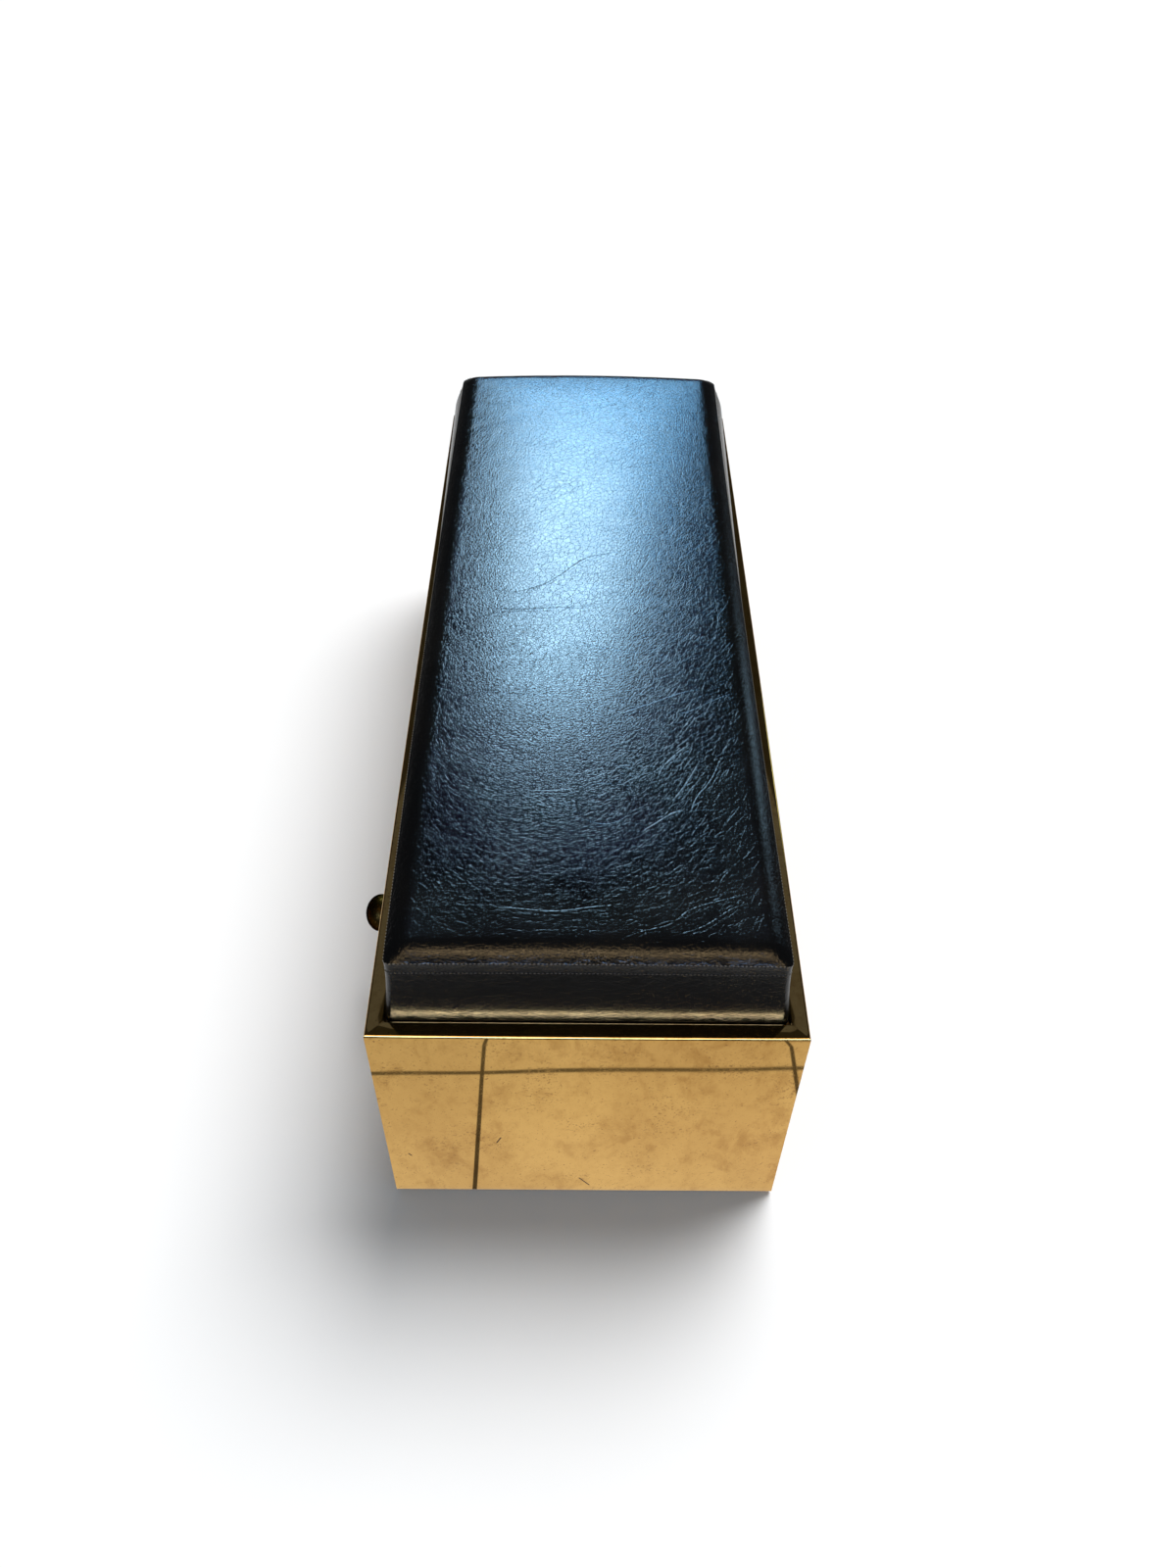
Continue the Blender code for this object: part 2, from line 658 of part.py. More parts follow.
def swollen(height):
    """How far the boxing stands out past the seam at a height: it swells, then tucks in at the bottom."""
    share = height / CUSHION_HEIGHT
    return CUSHION_SWELL * math.sin(math.pi * share) - CUSHION_TUCK * (1 - share) ** 3


def half_across(along, height):
    """Half width at a share of the length: the sides draw in between the corners."""
    return CUSHION_WIDTH / 2 + swollen(height) - CUSHION_DRAW * (1 - along * along)


def half_along(across, height):
    return CUSHION_LENGTH / 2 + swollen(height) - CUSHION_DRAW * (1 - across * across)


def crowned(across, along):
    """Height of the top at a place given as shares of the half width and half length."""
    roll = (1 - abs(across) ** CROWN_POWER_ACROSS) * (1 - abs(along) ** CROWN_POWER_ALONG)
    return CUSHION_HEIGHT + CUSHION_CROWN * roll


def eased(share):
    """Spreads even steps from -1 to 1 so that they lie closer towards the edges."""
    return math.sin(share * math.pi / 2)


def soft_block(name, cells, shape, material):
    """A cube cut into cells, each corner of which is moved to where shape puts it."""
    form = bmesh.new()
    bmesh.ops.create_cube(form, size=2.0)
    for axis, count in enumerate(cells):
        lines = [edge for edge in form.edges if edge.verts[0].co[axis] != edge.verts[1].co[axis]]
        bmesh.ops.subdivide_edges(form, edges=lines, cuts=count - 1, use_grid_fill=True)
    for corner in form.verts:
        corner.co = shape(*corner.co)
    bmesh.ops.triangulate(form, faces=form.faces, quad_method="SHORT_EDGE")
    mesh = bpy.data.meshes.new(name)
    form.to_mesh(mesh)
    form.free()
    mesh.shade_smooth()
    mesh.set_sharp_from_angle(angle=SHARP_ANGLE)
    return place(name, mesh, material, CUSHION)


def foam_shape(u, v, w):
    inset = LEATHER + FIT
    across = eased(u)
    along = eased(v)
    rim = CUSHION_HEIGHT - inset
    height = inset + (rim - inset) * (w + 1) / 2
    lift = (crowned(across, along) - CUSHION_HEIGHT) * (w + 1) / 2
    x = across * (half_across(along, height) - inset)
    y = along * (half_along(across, height) - inset)
    return (x, y, height + lift)


def top_shape(u, v, w):
    across = eased(u)
    along = eased(v)
    x = across * half_across(along, CUSHION_HEIGHT)
    y = along * half_along(across, CUSHION_HEIGHT)
    return (x, y, crowned(across, along) - LEATHER * (1 - w) / 2)


def bottom_shape(u, v, w):
    across = eased(u)
    along = eased(v)
    return (across * half_across(along, 0), along * half_along(across, 0), LEATHER * (w + 1) / 2)


def boxing_height(w):
    low = LEATHER + FIT
    return low + (CUSHION_HEIGHT - 2 * low) * (w + 1) / 2


def side_boxing_shape(side):
    """Strip along a long side, mitred at its ends: the first number runs through the leather."""
    def shape(u, v, w):
        height = boxing_height(w)
        depth = LEATHER * (1 - u) / 2
        along = eased(v)
        x = side * (half_across(along, height) - depth)
        return (x, side * along * (half_along(1, height) - depth - FIT), height)
    return shape


def end_boxing_shape(end):
    def shape(u, v, w):
        height = boxing_height(w)
        depth = LEATHER * (1 - v) / 2
        across = eased(u)
        y = end * (half_along(across, height) - depth)
        return (end * across * (half_across(1, height) - depth - FIT), y, height)
    return shape


def cushion():
    wide, long, tall = CUSHION_CELLS
    soft_block("cushion_foam", CUSHION_CELLS, foam_shape, FOAM)
    soft_block("cushion_top_panel", (wide, long, 1), top_shape, BLACK_LEATHER)
    soft_block("cushion_bottom_panel", (wide, long, 1), bottom_shape, BLACK_LEATHER)
    soft_block("cushion_boxing_left", (1, long, tall), side_boxing_shape(-1), BLACK_LEATHER)
    soft_block("cushion_boxing_right", (1, long, tall), side_boxing_shape(1), BLACK_LEATHER)
    soft_block("cushion_boxing_front", (wide, 1, tall), end_boxing_shape(-1), BLACK_LEATHER)
    soft_block("cushion_boxing_rear", (wide, 1, tall), end_boxing_shape(1), BLACK_LEATHER)


def main():
    end_panel("front_end_panel", -1)
    end_panel("rear_end_panel", 1)
    long_sides()
    floor_and_divider()
    deck_and_cleats()
    corner_blocks()
    glides()
    brass_skin()
    drawer_bay()
    hole = bolt_hole("bolt_hole")
    drawer_front(hole)
    drawer_front_cladding(hole)
    drawer_box()
    knob()
    cushion()


main()
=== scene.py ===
"""Looks of the upholstered bench: folded brass skin, sewn leather cushion, turned knob and boards."""

import math

import bmesh
import bpy
import numpy as np
from mathutils import Matrix, Vector, noise
from mathutils.bvhtree import BVHTree


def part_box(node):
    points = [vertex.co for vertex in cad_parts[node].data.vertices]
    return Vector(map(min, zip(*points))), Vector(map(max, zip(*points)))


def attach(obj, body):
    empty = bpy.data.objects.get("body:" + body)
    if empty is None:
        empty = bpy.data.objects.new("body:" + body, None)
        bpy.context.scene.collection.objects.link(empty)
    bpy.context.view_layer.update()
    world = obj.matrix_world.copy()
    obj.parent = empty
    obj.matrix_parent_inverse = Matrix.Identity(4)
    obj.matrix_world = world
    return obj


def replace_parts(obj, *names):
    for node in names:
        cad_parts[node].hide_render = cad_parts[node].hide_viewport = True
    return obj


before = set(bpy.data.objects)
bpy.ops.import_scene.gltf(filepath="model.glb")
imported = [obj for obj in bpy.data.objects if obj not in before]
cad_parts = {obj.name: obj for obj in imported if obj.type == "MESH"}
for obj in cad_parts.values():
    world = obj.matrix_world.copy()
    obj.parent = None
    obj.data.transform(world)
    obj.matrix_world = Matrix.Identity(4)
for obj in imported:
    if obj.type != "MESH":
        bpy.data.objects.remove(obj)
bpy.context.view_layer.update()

# Brass skin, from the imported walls
FRONT_LOW, FRONT_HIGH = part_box("front_end_cladding")
LEFT_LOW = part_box("left_side_cladding")[0]
RIGHT_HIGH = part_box("right_side_cladding")[1]
REAR_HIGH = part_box("rear_end_cladding")[1]
TRAY_LOW, TRAY_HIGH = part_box("drawer_front_cladding")
DECK_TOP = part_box("seat_deck")[1].z
BASE = FRONT_LOW.z
RIM = FRONT_HIGH.z
RIM_WIDTH = FRONT_HIGH.y - FRONT_LOW.y
LEFT, RIGHT = LEFT_LOW.x, RIGHT_HIGH.x
FRONT, REAR = FRONT_LOW.y, REAR_HIGH.y
MIDDLE = (LEFT + RIGHT) / 2
SHEET = 0.0012
FIT = 0.0003
FOLD_RADIUS = 0.0025
FOLD_STEPS = 7
HEM = 0.012
REVEAL = 0.002
LINING = 0.014
LINING_RADIUS = 0.0015
CELL = 0.014
WAVE_HEIGHT = 0.00022
WAVE_SIZE = 0.11
WAVE_FADE = 0.035
RIM_BOW = 0.0006
RIM_BOW_DEPTH = 0.045
WAVE_SEEDS = {"front_end": 1.3, "right_side": 2.9, "rear_end": 4.1, "left_side": 5.6, "drawer_front": 7.7}

# Knob
KNOB_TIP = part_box("knob")[0].x
KNOB_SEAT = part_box("knob")[1].x
ROSE_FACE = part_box("knob_rose")[0].x
KNOB_AXIS = (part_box("knob")[0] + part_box("knob")[1]) / 2
KNOB_RADIUS = 0.0245
KNOB_HALF = 0.020
STEM_SEAT_RADIUS = 0.011
STEM_WAIST_RADIUS = 0.0075
STEM_FOOT_RADIUS = 0.012
ROSE_RADIUS = 0.018
ROSE_EDGE = 0.0015
TURN_STEPS = 64
PROFILE_STEPS = 28
EDGE_STEPS = 6

# Cushion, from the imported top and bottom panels
TOP_LOW, TOP_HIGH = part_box("cushion_top_panel")
UNDER_LOW, UNDER_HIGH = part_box("cushion_bottom_panel")
LEATHER = UNDER_HIGH.z - UNDER_LOW.z
SEAT_MIDDLE = (TOP_LOW + TOP_HIGH) / 2
HALF_ACROSS = (TOP_HIGH.x - TOP_LOW.x) / 2
HALF_ALONG = (TOP_HIGH.y - TOP_LOW.y) / 2
UNDERSIDE = UNDER_LOW.z
SEAM = TOP_LOW.z + LEATHER
CROWN = TOP_HIGH.z - SEAM
BOXING = SEAM - UNDERSIDE
DOME = 0.005
# Rolled edges of the seat, as the width of each and the power of its curve
SIDE_ROLL = (0.024, 2.0)
NEAR_ROLL = (0.026, 2.0)
FAR_ROLL = (0.024, 2.0)
# How far the sides and ends are drawn in, sway, bow, flare and swell
SIDE_DRAW = 0.0005
END_DRAW = 0.0015
SIDE_SWAY = 0.0027
FAR_BOW = 0.011
SIDE_FLARE = 0.0052
END_FLARE = 0.0105
SIDE_SWELL = 0.015
SWELL_DEPTH = 0.083
SWELL_POWER = 1.2
SWELL_FADE = 1.5
FLARE_DEPTH = 0.080
FLARE_POWER = 2.0
TUCK = 0.012
TUCK_POWER = 30
SEAM_LIP = 0.0003
STITCH_DIP = 0.0001
CORNER_DIP = 0.0009
NEAR_CORNER_RADIUS = 0.003
FAR_CORNER_RADIUS = 0.014
CORNER_SPREAD = 0.003
RING_DEPTHS = (0, 0.004, 0.009, 0.0145, 0.018, 0.024, 0.033, 0.044, 0.056, 0.068, 0.079, 0.088, 0.094,
               0.099, 0.1025, BOXING)
STITCH_RING = 3
SEAM_CREASE = 0.85
SEAT_CELLS = (48, 132)
EDGE_PULL = 0.4
SETTLE_FRAMES = 20
SETTLE_CAP = 0.002
SETTLE_QUALITY = 5
SETTLE_STIFFNESS = 25
SETTLE_BENDING = 2
SETTLE_PRESSURE = 4
SETTLE_SHRINK = -0.004

# Sewing thread
STITCH_PITCH = 0.0042
STITCH_LENGTH = 0.0028
THREAD_RADIUS = 0.0005
THREAD_LIFT = THREAD_RADIUS / 2
STITCH_GROUP = 40
SEWN_STEPS = 400

SHARP = math.radians(35)
MERGE = 0.00001
X_AXIS, Y_AXIS, Z_AXIS = 0, 1, 2

# The photo's camera, in a frame of 1200 by 1600 pixels
PHOTO_SIZE = (1200, 1600)
CAMERA_PLACE = Vector((0.0169, -1.2903, 1.4397))
CAMERA_PITCH = math.radians(46.4389)
CAMERA_YAW = math.radians(0.675)
CAMERA_ROLL = math.radians(-1.003)
CAMERA_LENS = 28.40
CAMERA_SENSOR = 36.0


# Camera, floor and light

def camera_axes():
    """The camera's right, up and backward directions."""
    cos, sin = math.cos, math.sin
    ahead = cos(CAMERA_PITCH)
    forward = Vector((sin(CAMERA_YAW) * ahead, cos(CAMERA_YAW) * ahead, -sin(CAMERA_PITCH)))
    level = Vector((cos(CAMERA_YAW), -sin(CAMERA_YAW), 0))
    down = forward.cross(level)
    right = cos(CAMERA_ROLL) * level + sin(CAMERA_ROLL) * down
    up = sin(CAMERA_ROLL) * level - cos(CAMERA_ROLL) * down
    return right, up, -forward


def photo_camera():
    right, up, back = camera_axes()
    lens = bpy.data.cameras.new("photo_camera")
    lens.lens = CAMERA_LENS
    lens.sensor_width = CAMERA_SENSOR
    lens.clip_start = 0.01
    camera = bpy.data.objects.new("photo_camera", lens)
    turn = Matrix((right, up, back)).transposed().to_4x4()
    camera.matrix_world = Matrix.Translation(CAMERA_PLACE) @ turn
    bpy.context.scene.collection.objects.link(camera)
    bpy.context.scene.camera = camera


def seen_at(pixel, level, axis=Z_AXIS):
    """The point that the photo shows at a pixel, at a level along an axis."""
    right, up, back = camera_axes()
    focal = CAMERA_LENS / CAMERA_SENSOR * PHOTO_SIZE[1]
    across = (pixel[0] - PHOTO_SIZE[0] / 2) / focal
    below = (pixel[1] - PHOTO_SIZE[1] / 2) / focal
    ray = right * across - up * below - back
    return CAMERA_PLACE + ray * ((level - CAMERA_PLACE[axis]) / ray[axis])


class Nodes:
    """Short calls that add nodes to the tree of a material, a lamp or the sky."""

    def __init__(self, tree):
        self.tree = tree

    def wire(self, node, sockets):
        for name, value in sockets.items():
            if isinstance(value, bpy.types.NodeSocket):
                self.tree.links.new(value, node.inputs[name])
            else:
                node.inputs[name].default_value = value
        return node

    def node(self, kind, sockets, **settings):
        made = self.tree.nodes.new(kind)
        for key, value in settings.items():
            setattr(made, key, value)
        return self.wire(made, sockets)

    def paths(self):
        return self.node("ShaderNodeLightPath", {}).outputs

    def step(self, value, low, high, start=0.0, end=1.0):
        """A smooth step from start to end as the value goes from low to high."""
        sockets = {"Value": value, "From Min": low, "From Max": high, "To Min": start, "To Max": end}
        made = self.node("ShaderNodeMapRange", sockets, interpolation_type="SMOOTHSTEP")
        return made.outputs["Result"]

    def reckon(self, operation, first, second=0.0):
        return self.node("ShaderNodeMath", {0: first, 1: second}, operation=operation).outputs["Value"]

    def times(self, first, second):
        return self.reckon("MULTIPLY", first, second)

    def plus(self, first, second):
        return self.reckon("ADD", first, second)

    def greater(self, first, second):
        return self.reckon("MAXIMUM", first, second)

    def gap(self, value, middle):
        return self.reckon("ABSOLUTE", self.reckon("SUBTRACT", value, middle))

    def tint(self, share, first, second):
        sockets = {"Fac": share, "Color1": first, "Color2": second}
        for name, value in sockets.items():
            if isinstance(value, tuple):
                sockets[name] = (*value, 1.0)
        return self.node("ShaderNodeMixRGB", sockets).outputs["Color"]


class Finish(Nodes):
    """A material, its shader, and short calls that add the nodes of its pattern."""

    def __init__(self, name, colour, roughness, metallic=0.0):
        self.material = bpy.data.materials.new(name)
        self.material.use_nodes = True
        super().__init__(self.material.node_tree)
        self.shader = self.tree.nodes["Principled BSDF"]
        self.wire(self.shader, {"Base Color": (*colour, 1.0), "Roughness": roughness, "Metallic": metallic})
        self.coordinates = self.tree.nodes.new("ShaderNodeTexCoord")
        self.place = self.coordinates.outputs["Object"]

    def stretched(self, counts, turn=(0, 0, 0)):
        """Coordinates turned, then stretched to a count of features in a metre along each turned axis."""
        sizes = tuple(1 / count for count in counts)
        sockets = {"Vector": self.place, "Scale": sizes, "Rotation": turn}
        return self.node("ShaderNodeMapping", sockets, vector_type="TEXTURE").outputs["Vector"]

    def cloud(self, scale, detail=3.0, vector=None, distortion=0.0, roughness=0.5):
        sockets = {"Vector": vector or self.place, "Scale": scale, "Detail": detail}
        sockets |= {"Distortion": distortion, "Roughness": roughness}
        return self.node("ShaderNodeTexNoise", sockets).outputs["Fac"]

    def patches(self, scale, bounds, detail=3.0, ends=(0.0, 1.0), **settings):
        """A cloud cut to patches, from one end where it is below both bounds to the other end above them."""
        return self.step(self.cloud(scale, detail, **settings), *bounds, *ends)

    def warped(self, scale, amount, vector=None):
        """Coordinates pushed about by noise."""
        vector = vector or self.place
        push = self.node("ShaderNodeTexNoise", {"Vector": vector, "Scale": scale, "Detail": 2.0})
        sockets = {0: push.outputs["Color"], 1: (amount, amount, amount), 2: vector}
        return self.node("ShaderNodeVectorMath", sockets, operation="MULTIPLY_ADD").outputs["Vector"]

    def cells(self, scale, vector=None, feature="F1"):
        sockets = {"Vector": vector or self.place, "Scale": scale}
        return self.node("ShaderNodeTexVoronoi", sockets, feature=feature).outputs["Distance"]

    def wrinkles(self, counts, turn, half):
        """Thin wandering lines, longest where the count in a metre is least, turned about Z."""
        level = self.cloud(1.0, 1.5, vector=self.stretched(counts, (0, 0, turn)))
        return self.step(self.gap(level, 0.5), 0.0, half, 1.0, 0.0)

    def dash(self, start, end, half):
        """A short mark from one point to another."""
        kind = "ShaderNodeVectorMath"
        run = end - start
        away = self.node(kind, {0: self.place, 1: start}, operation="SUBTRACT").outputs["Vector"]
        sockets = {0: away, 1: run / run.length_squared}
        share = self.node(kind, sockets, operation="DOT_PRODUCT").outputs["Value"]
        share = self.reckon("MINIMUM", self.greater(share, 0.0), 1.0)
        foot = self.node(kind, {0: run, "Scale": share}, operation="SCALE").outputs["Vector"]
        off = self.node(kind, {0: away, 1: foot}, operation="DISTANCE").outputs["Value"]
        return self.step(off, half * 0.5, half, 1.0, 0.0)

    def axis(self, vector, number):
        return self.node("ShaderNodeSeparateXYZ", {"Vector": vector}).outputs[number]

    def show(self, sockets):
        """Puts the pattern on the shader and hands over the material."""
        self.wire(self.shader, sockets)
        return self.material

    def relief(self, height, depth, strength=1.0, under=None):
        sockets = {"Height": height, "Distance": depth, "Strength": strength}
        if under:
            sockets["Normal"] = under
        return self.node("ShaderNodeBump", sockets).outputs["Normal"]


FLOOR_COLOUR = (0.90, 0.90, 0.90)
FLOOR_HALF = 30.0
FLOOR_GLOW_SEEN = 0.07
FLOOR_GLOW_MIRRORED = 0.95
MIRRORED_TONE = (0.70, 0.70, 0.70)
JOINT_LEFT = -0.105
JOINT_RIGHT = 0.307
JOINT_AHEAD = -0.7768
JOINT_SLANT = 0.022
JOINT_HALF = 0.0028
JOINT_REACH = 0.40
JOINT_SHADE = 0.88
# Painted shade on the floor, seen only in the polish: a dim band ahead, darkening far off, and soft
# darkening ahead and to the left
DIM_FROM = -0.83
DIM_TO = -0.92
DIM_SHADE = 0.85
FAR_FROM = 0.9
FAR_TO = 1.6
FAR_SHADE = 0.85
AHEAD_SOFT = (-0.64, DIM_FROM)
AHEAD_SOFT_SHADE = 0.20
LEFT_SOFT = (0.10, -0.25)
LEFT_SOFT_SHADE = 0.10


def floor_finish():
    """White to the eye with the shadow kept. Only the polish mirrors the joints and the painted shade ahead,
    far off and to the left.
    """
    floor = Finish("pale_floor", FLOOR_COLOUR, 0.9)
    across = floor.axis(floor.place, X_AXIS)
    along = floor.axis(floor.place, Y_AXIS)

    def line(value, middle):
        return floor.step(floor.gap(value, middle), JOINT_HALF * 0.8, JOINT_HALF * 1.2, 1.0, 0.0)

    lines = floor.greater(line(across, JOINT_LEFT), line(across, JOINT_RIGHT))
    slant = floor.times(floor.reckon("SUBTRACT", across, MIDDLE), JOINT_SLANT)
    lines = floor.greater(lines, line(floor.plus(along, slant), JOINT_AHEAD))
    ahead = floor.reckon("LESS_THAN", along, FRONT)
    aside = floor.gap(across, MIDDLE)
    ahead = floor.times(ahead, floor.reckon("LESS_THAN", aside, JOINT_REACH))
    path = floor.paths()
    direct = floor.reckon("LESS_THAN", path["Diffuse Depth"], 0.5)
    mirrored = floor.times(path["Is Glossy Ray"], direct)
    shade = floor.times(floor.times(lines, ahead), JOINT_SHADE)
    # Painted shade in the floor as the polish sees it: a dim band ahead, darkening far off, soft darkening
    # ahead and to the left
    shade = floor.greater(shade, floor.step(along, DIM_FROM, DIM_TO, 0.0, DIM_SHADE))
    beyond = floor.reckon("SUBTRACT", floor.reckon("ABSOLUTE", along), REAR - RIGHT)
    reach = floor.greater(aside, beyond)
    shade = floor.greater(shade, floor.step(reach, FAR_FROM, FAR_TO, 0.0, FAR_SHADE))
    painted_shade_ahead = floor.step(along, *AHEAD_SOFT, 0.0, AHEAD_SOFT_SHADE)
    painted_shade_left = floor.step(across, *LEFT_SOFT, 0.0, LEFT_SOFT_SHADE)
    shade = floor.greater(shade, floor.plus(painted_shade_ahead, painted_shade_left))
    shade = floor.times(shade, mirrored)
    seen = floor.greater(path["Is Camera Ray"], path["Is Transmission Ray"])
    glow_seen = floor.times(seen, FLOOR_GLOW_SEEN)
    glow_mirrored = floor.times(mirrored, FLOOR_GLOW_MIRRORED)
    share = floor.plus(glow_seen, glow_mirrored)
    lit = floor.node("ShaderNodeBsdfDiffuse", {"Color": floor.tint(shade, FLOOR_COLOUR, (0, 0, 0))})
    tone = floor.tint(mirrored, (1, 1, 1), MIRRORED_TONE)
    glow = floor.node("ShaderNodeEmission", {"Color": floor.tint(shade, tone, (0, 0, 0))})
    mixed = floor.node("ShaderNodeMixShader", {0: share, 1: lit.outputs[0], 2: glow.outputs[0]})
    floor.wire(floor.tree.nodes["Material Output"], {"Surface": mixed.outputs[0]})
    floor.tree.nodes.remove(floor.shader)
    return floor.material


def floor():
    form = bmesh.new()
    bmesh.ops.create_grid(form, x_segments=1, y_segments=1, size=FLOOR_HALF)
    made = new_object("floor", form, floor_finish())


SKY_SEEN = 1.0
SKY_MIRRORED = 0.02
SKY_LIGHT = 0.22
SKY_TINT = (0.905, 0.99, 1.075)
SUN_STRENGTH = 3.4
SUN_SPREAD = math.radians(36)
SUN_FROM = Vector((0.34, 0.46, 1.0))
PANEL_AWAY = 4.0


def sky():
    """White to the eye, dark in the polish, and a cool soft light on everything else."""
    world = bpy.data.worlds.new("studio")
    bpy.context.scene.world = world
    world.use_nodes = True
    nodes = Nodes(world.node_tree)
    path = nodes.paths()
    level = SKY_LIGHT
    for ray, strength in (("Is Glossy Ray", SKY_MIRRORED), ("Is Camera Ray", SKY_SEEN)):
        sockets = {"Factor": path[ray], "A": level, "B": strength}
        level = nodes.node("ShaderNodeMix", sockets).outputs["Result"]
    colour = nodes.tint(path["Is Camera Ray"], SKY_TINT, (1, 1, 1))
    nodes.wire(world.node_tree.nodes["Background"], {"Strength": level, "Color": colour})


def lamp(name, kind, energy, colour, glossy_only=True):
    light = bpy.data.lights.new(name, kind)
    light.energy = energy
    light.color = colour
    made = bpy.data.objects.new(name, light)
    made.visible_camera = False
    made.visible_diffuse = not glossy_only
    made.visible_glossy = glossy_only
    bpy.context.scene.collection.objects.link(made)
    return made


# Tests of the paths that show a panel: no light thrown on the floor, the first mirror alone, or a second one
POLISH_ONLY = (("LESS_THAN", "Diffuse Depth", 0.5),)
FIRST_MIRROR = (("LESS_THAN", "Ray Depth", 2.5),)
SECOND_MIRROR = (*POLISH_ONLY, ("GREATER_THAN", "Ray Depth", 2.5))


def keep_to_paths(light, paths):
    """Shows a panel only in paths that pass every test."""
    light.use_nodes = True
    nodes = Nodes(light.node_tree)
    path = nodes.paths()
    shown = 1.0
    for operation, depth, bound in paths:
        shown = nodes.times(shown, nodes.reckon(operation, path[depth], bound))
    nodes.wire(light.node_tree.nodes["Emission"], {"Strength": shown})


def reflector(name, azimuths, elevations, brightness, colour, paths=POLISH_ONLY):
    """A soft panel seen from the seat between two azimuths, in degrees from +Y to +X, and two elevations."""
    azimuth = math.radians(sum(azimuths) / 2)
    elevation = math.radians(sum(elevations) / 2)
    width = 2 * PANEL_AWAY * math.tan(math.radians(azimuths[1] - azimuths[0]) / 2)
    height = 2 * PANEL_AWAY * math.tan(math.radians(elevations[1] - elevations[0]) / 2)
    flat = math.cos(elevation)
    away = Vector((math.sin(azimuth) * flat, math.cos(azimuth) * flat, math.sin(elevation)))
    made = lamp(name, "AREA", brightness * math.pi * width * height, colour)
    keep_to_paths(made.data, paths)
    made.data.shape = "RECTANGLE"
    made.data.size = width
    made.data.size_y = height
    made.rotation_euler = away.to_track_quat("Z", "Y").to_euler()
    made.location = Vector((MIDDLE, 0, SEAM)) + away * PANEL_AWAY


def lights():
    sky()
    sun = lamp("key", "SUN", SUN_STRENGTH, (1, 1, 1), glossy_only=False)
    sun.data.angle = SUN_SPREAD
    sun.rotation_euler = SUN_FROM.to_track_quat("Z", "Y").to_euler()
    reflector("window_far", (-5.6, 4.6), (21, 26.5), 16.8, (0.22, 0.57, 1.0))
    reflector("window_low", (-6.4, 4.2), (26.5, 30), 14.6, (0.39, 0.69, 1.0))
    reflector("window_middle", (-7.7, 3.7), (30, 38), 23.0, (0.49, 0.77, 1.0))
    reflector("window_high", (-9.2, 1.4), (38, 45), 29.0, (0.44, 0.74, 1.0))
    reflector("blue_side_low", (4.4, 9.4), (21, 33), 7.6, (0.20, 0.56, 1.0))
    reflector("blue_side_high", (3.8, 9.5), (33, 42), 1.1, (0.22, 0.58, 1.0))
    reflector("cool_side_panel", (44, 52), (10, 27), 2.4, (0.50, 0.78, 1.0))
    reflector("front_panel", (155, 205), (20, 32), 19.0, (0.34, 0.56, 1.0))
    reflector("twice_mirrored_panel", (155, 205), (10, 27), 42.0, (0.48, 0.55, 0.95), SECOND_MIRROR)
    reflector("dim_left_wall", (-32, -13), (46, 62), 0.10, (0.45, 0.58, 1.0))
    reflector("dim_right_wall", (14, 34), (46, 62), 0.12, (0.45, 0.58, 1.0))
    reflector("warm_top_panel", (160, 200), (57, 66), 4.5, (1.0, 0.72, 0.38), FIRST_MIRROR)


# Finishes

BRASS_TONE = (0.99, 0.585, 0.163)
BRASS_BLOOM = (0.62, 0.31, 0.065)
BRASS_SPOT = (0.34, 0.15, 0.035)
BRASS_DENT = (0.09, 0.04, 0.01)
# The knob's brass is set near black, far darker than the sheet, with a dark edge tint
DARK_BRASS_TONE = (0.040, 0.022, 0.005)
DARK_BRASS_BLOOM = (0.024, 0.012, 0.003)
DARK_BRASS_EDGE = (0.08, 0.048, 0.020)
LEATHER_TONE = (0.0025, 0.0025, 0.0027)
LEATHER_WORN = (0.0048, 0.0045, 0.0042)
PLY_FACE = (0.60, 0.43, 0.25)
PLY_GRAIN = (0.43, 0.28, 0.15)
PLY_DARK_LAYER = (0.30, 0.19, 0.10)
PLY_LAYER = 0.0023
HARDWOOD_FACE = (0.44, 0.28, 0.15)
HARDWOOD_GRAIN = (0.27, 0.155, 0.075)
THREAD_TONE = (0.10, 0.085, 0.065)
THREAD_DARK = (0.07, 0.059, 0.045)
THREAD_PALE = (0.16, 0.138, 0.105)
ZINC_TONE = (0.55, 0.55, 0.53)
ZINC_PALE = (0.60, 0.60, 0.58)
ZINC_DARK = (0.42, 0.41, 0.37)
NYLON_TONE = (0.045, 0.042, 0.040)
NYLON_DARK = (0.035, 0.033, 0.032)
NYLON_PALE = (0.075, 0.07, 0.066)
BRASS_POLISH = 0.035
DARK_BRASS_POLISH = 0.42

# Scratches and a pit in the front end's brass, as the photo's pixels at both ends of each
FRONT_MARKS = (((591, 1202), (601, 1209)), ((507, 1166), (511, 1161)), ((417, 1177), (420, 1179)))
MARK_HALF = 0.0011
SCRATCH_COUNTS = (36, 600, 600)
SCRATCH_TURNS = ((0.6, 0.75, 0.9), (0.4, -0.9, -0.5))
MOTTLE_SHARE = 0.20
STAIN_SHARE = 0.42
BLOOM_SHARE = 0.34
SPOT_SHARE = 0.75
SCRATCH_SHARE = 0.7
BLOOM_ROUGHNESS = 0.02
SPOT_ROUGHNESS = 0.05
PIT_DEPTH = 0.00001


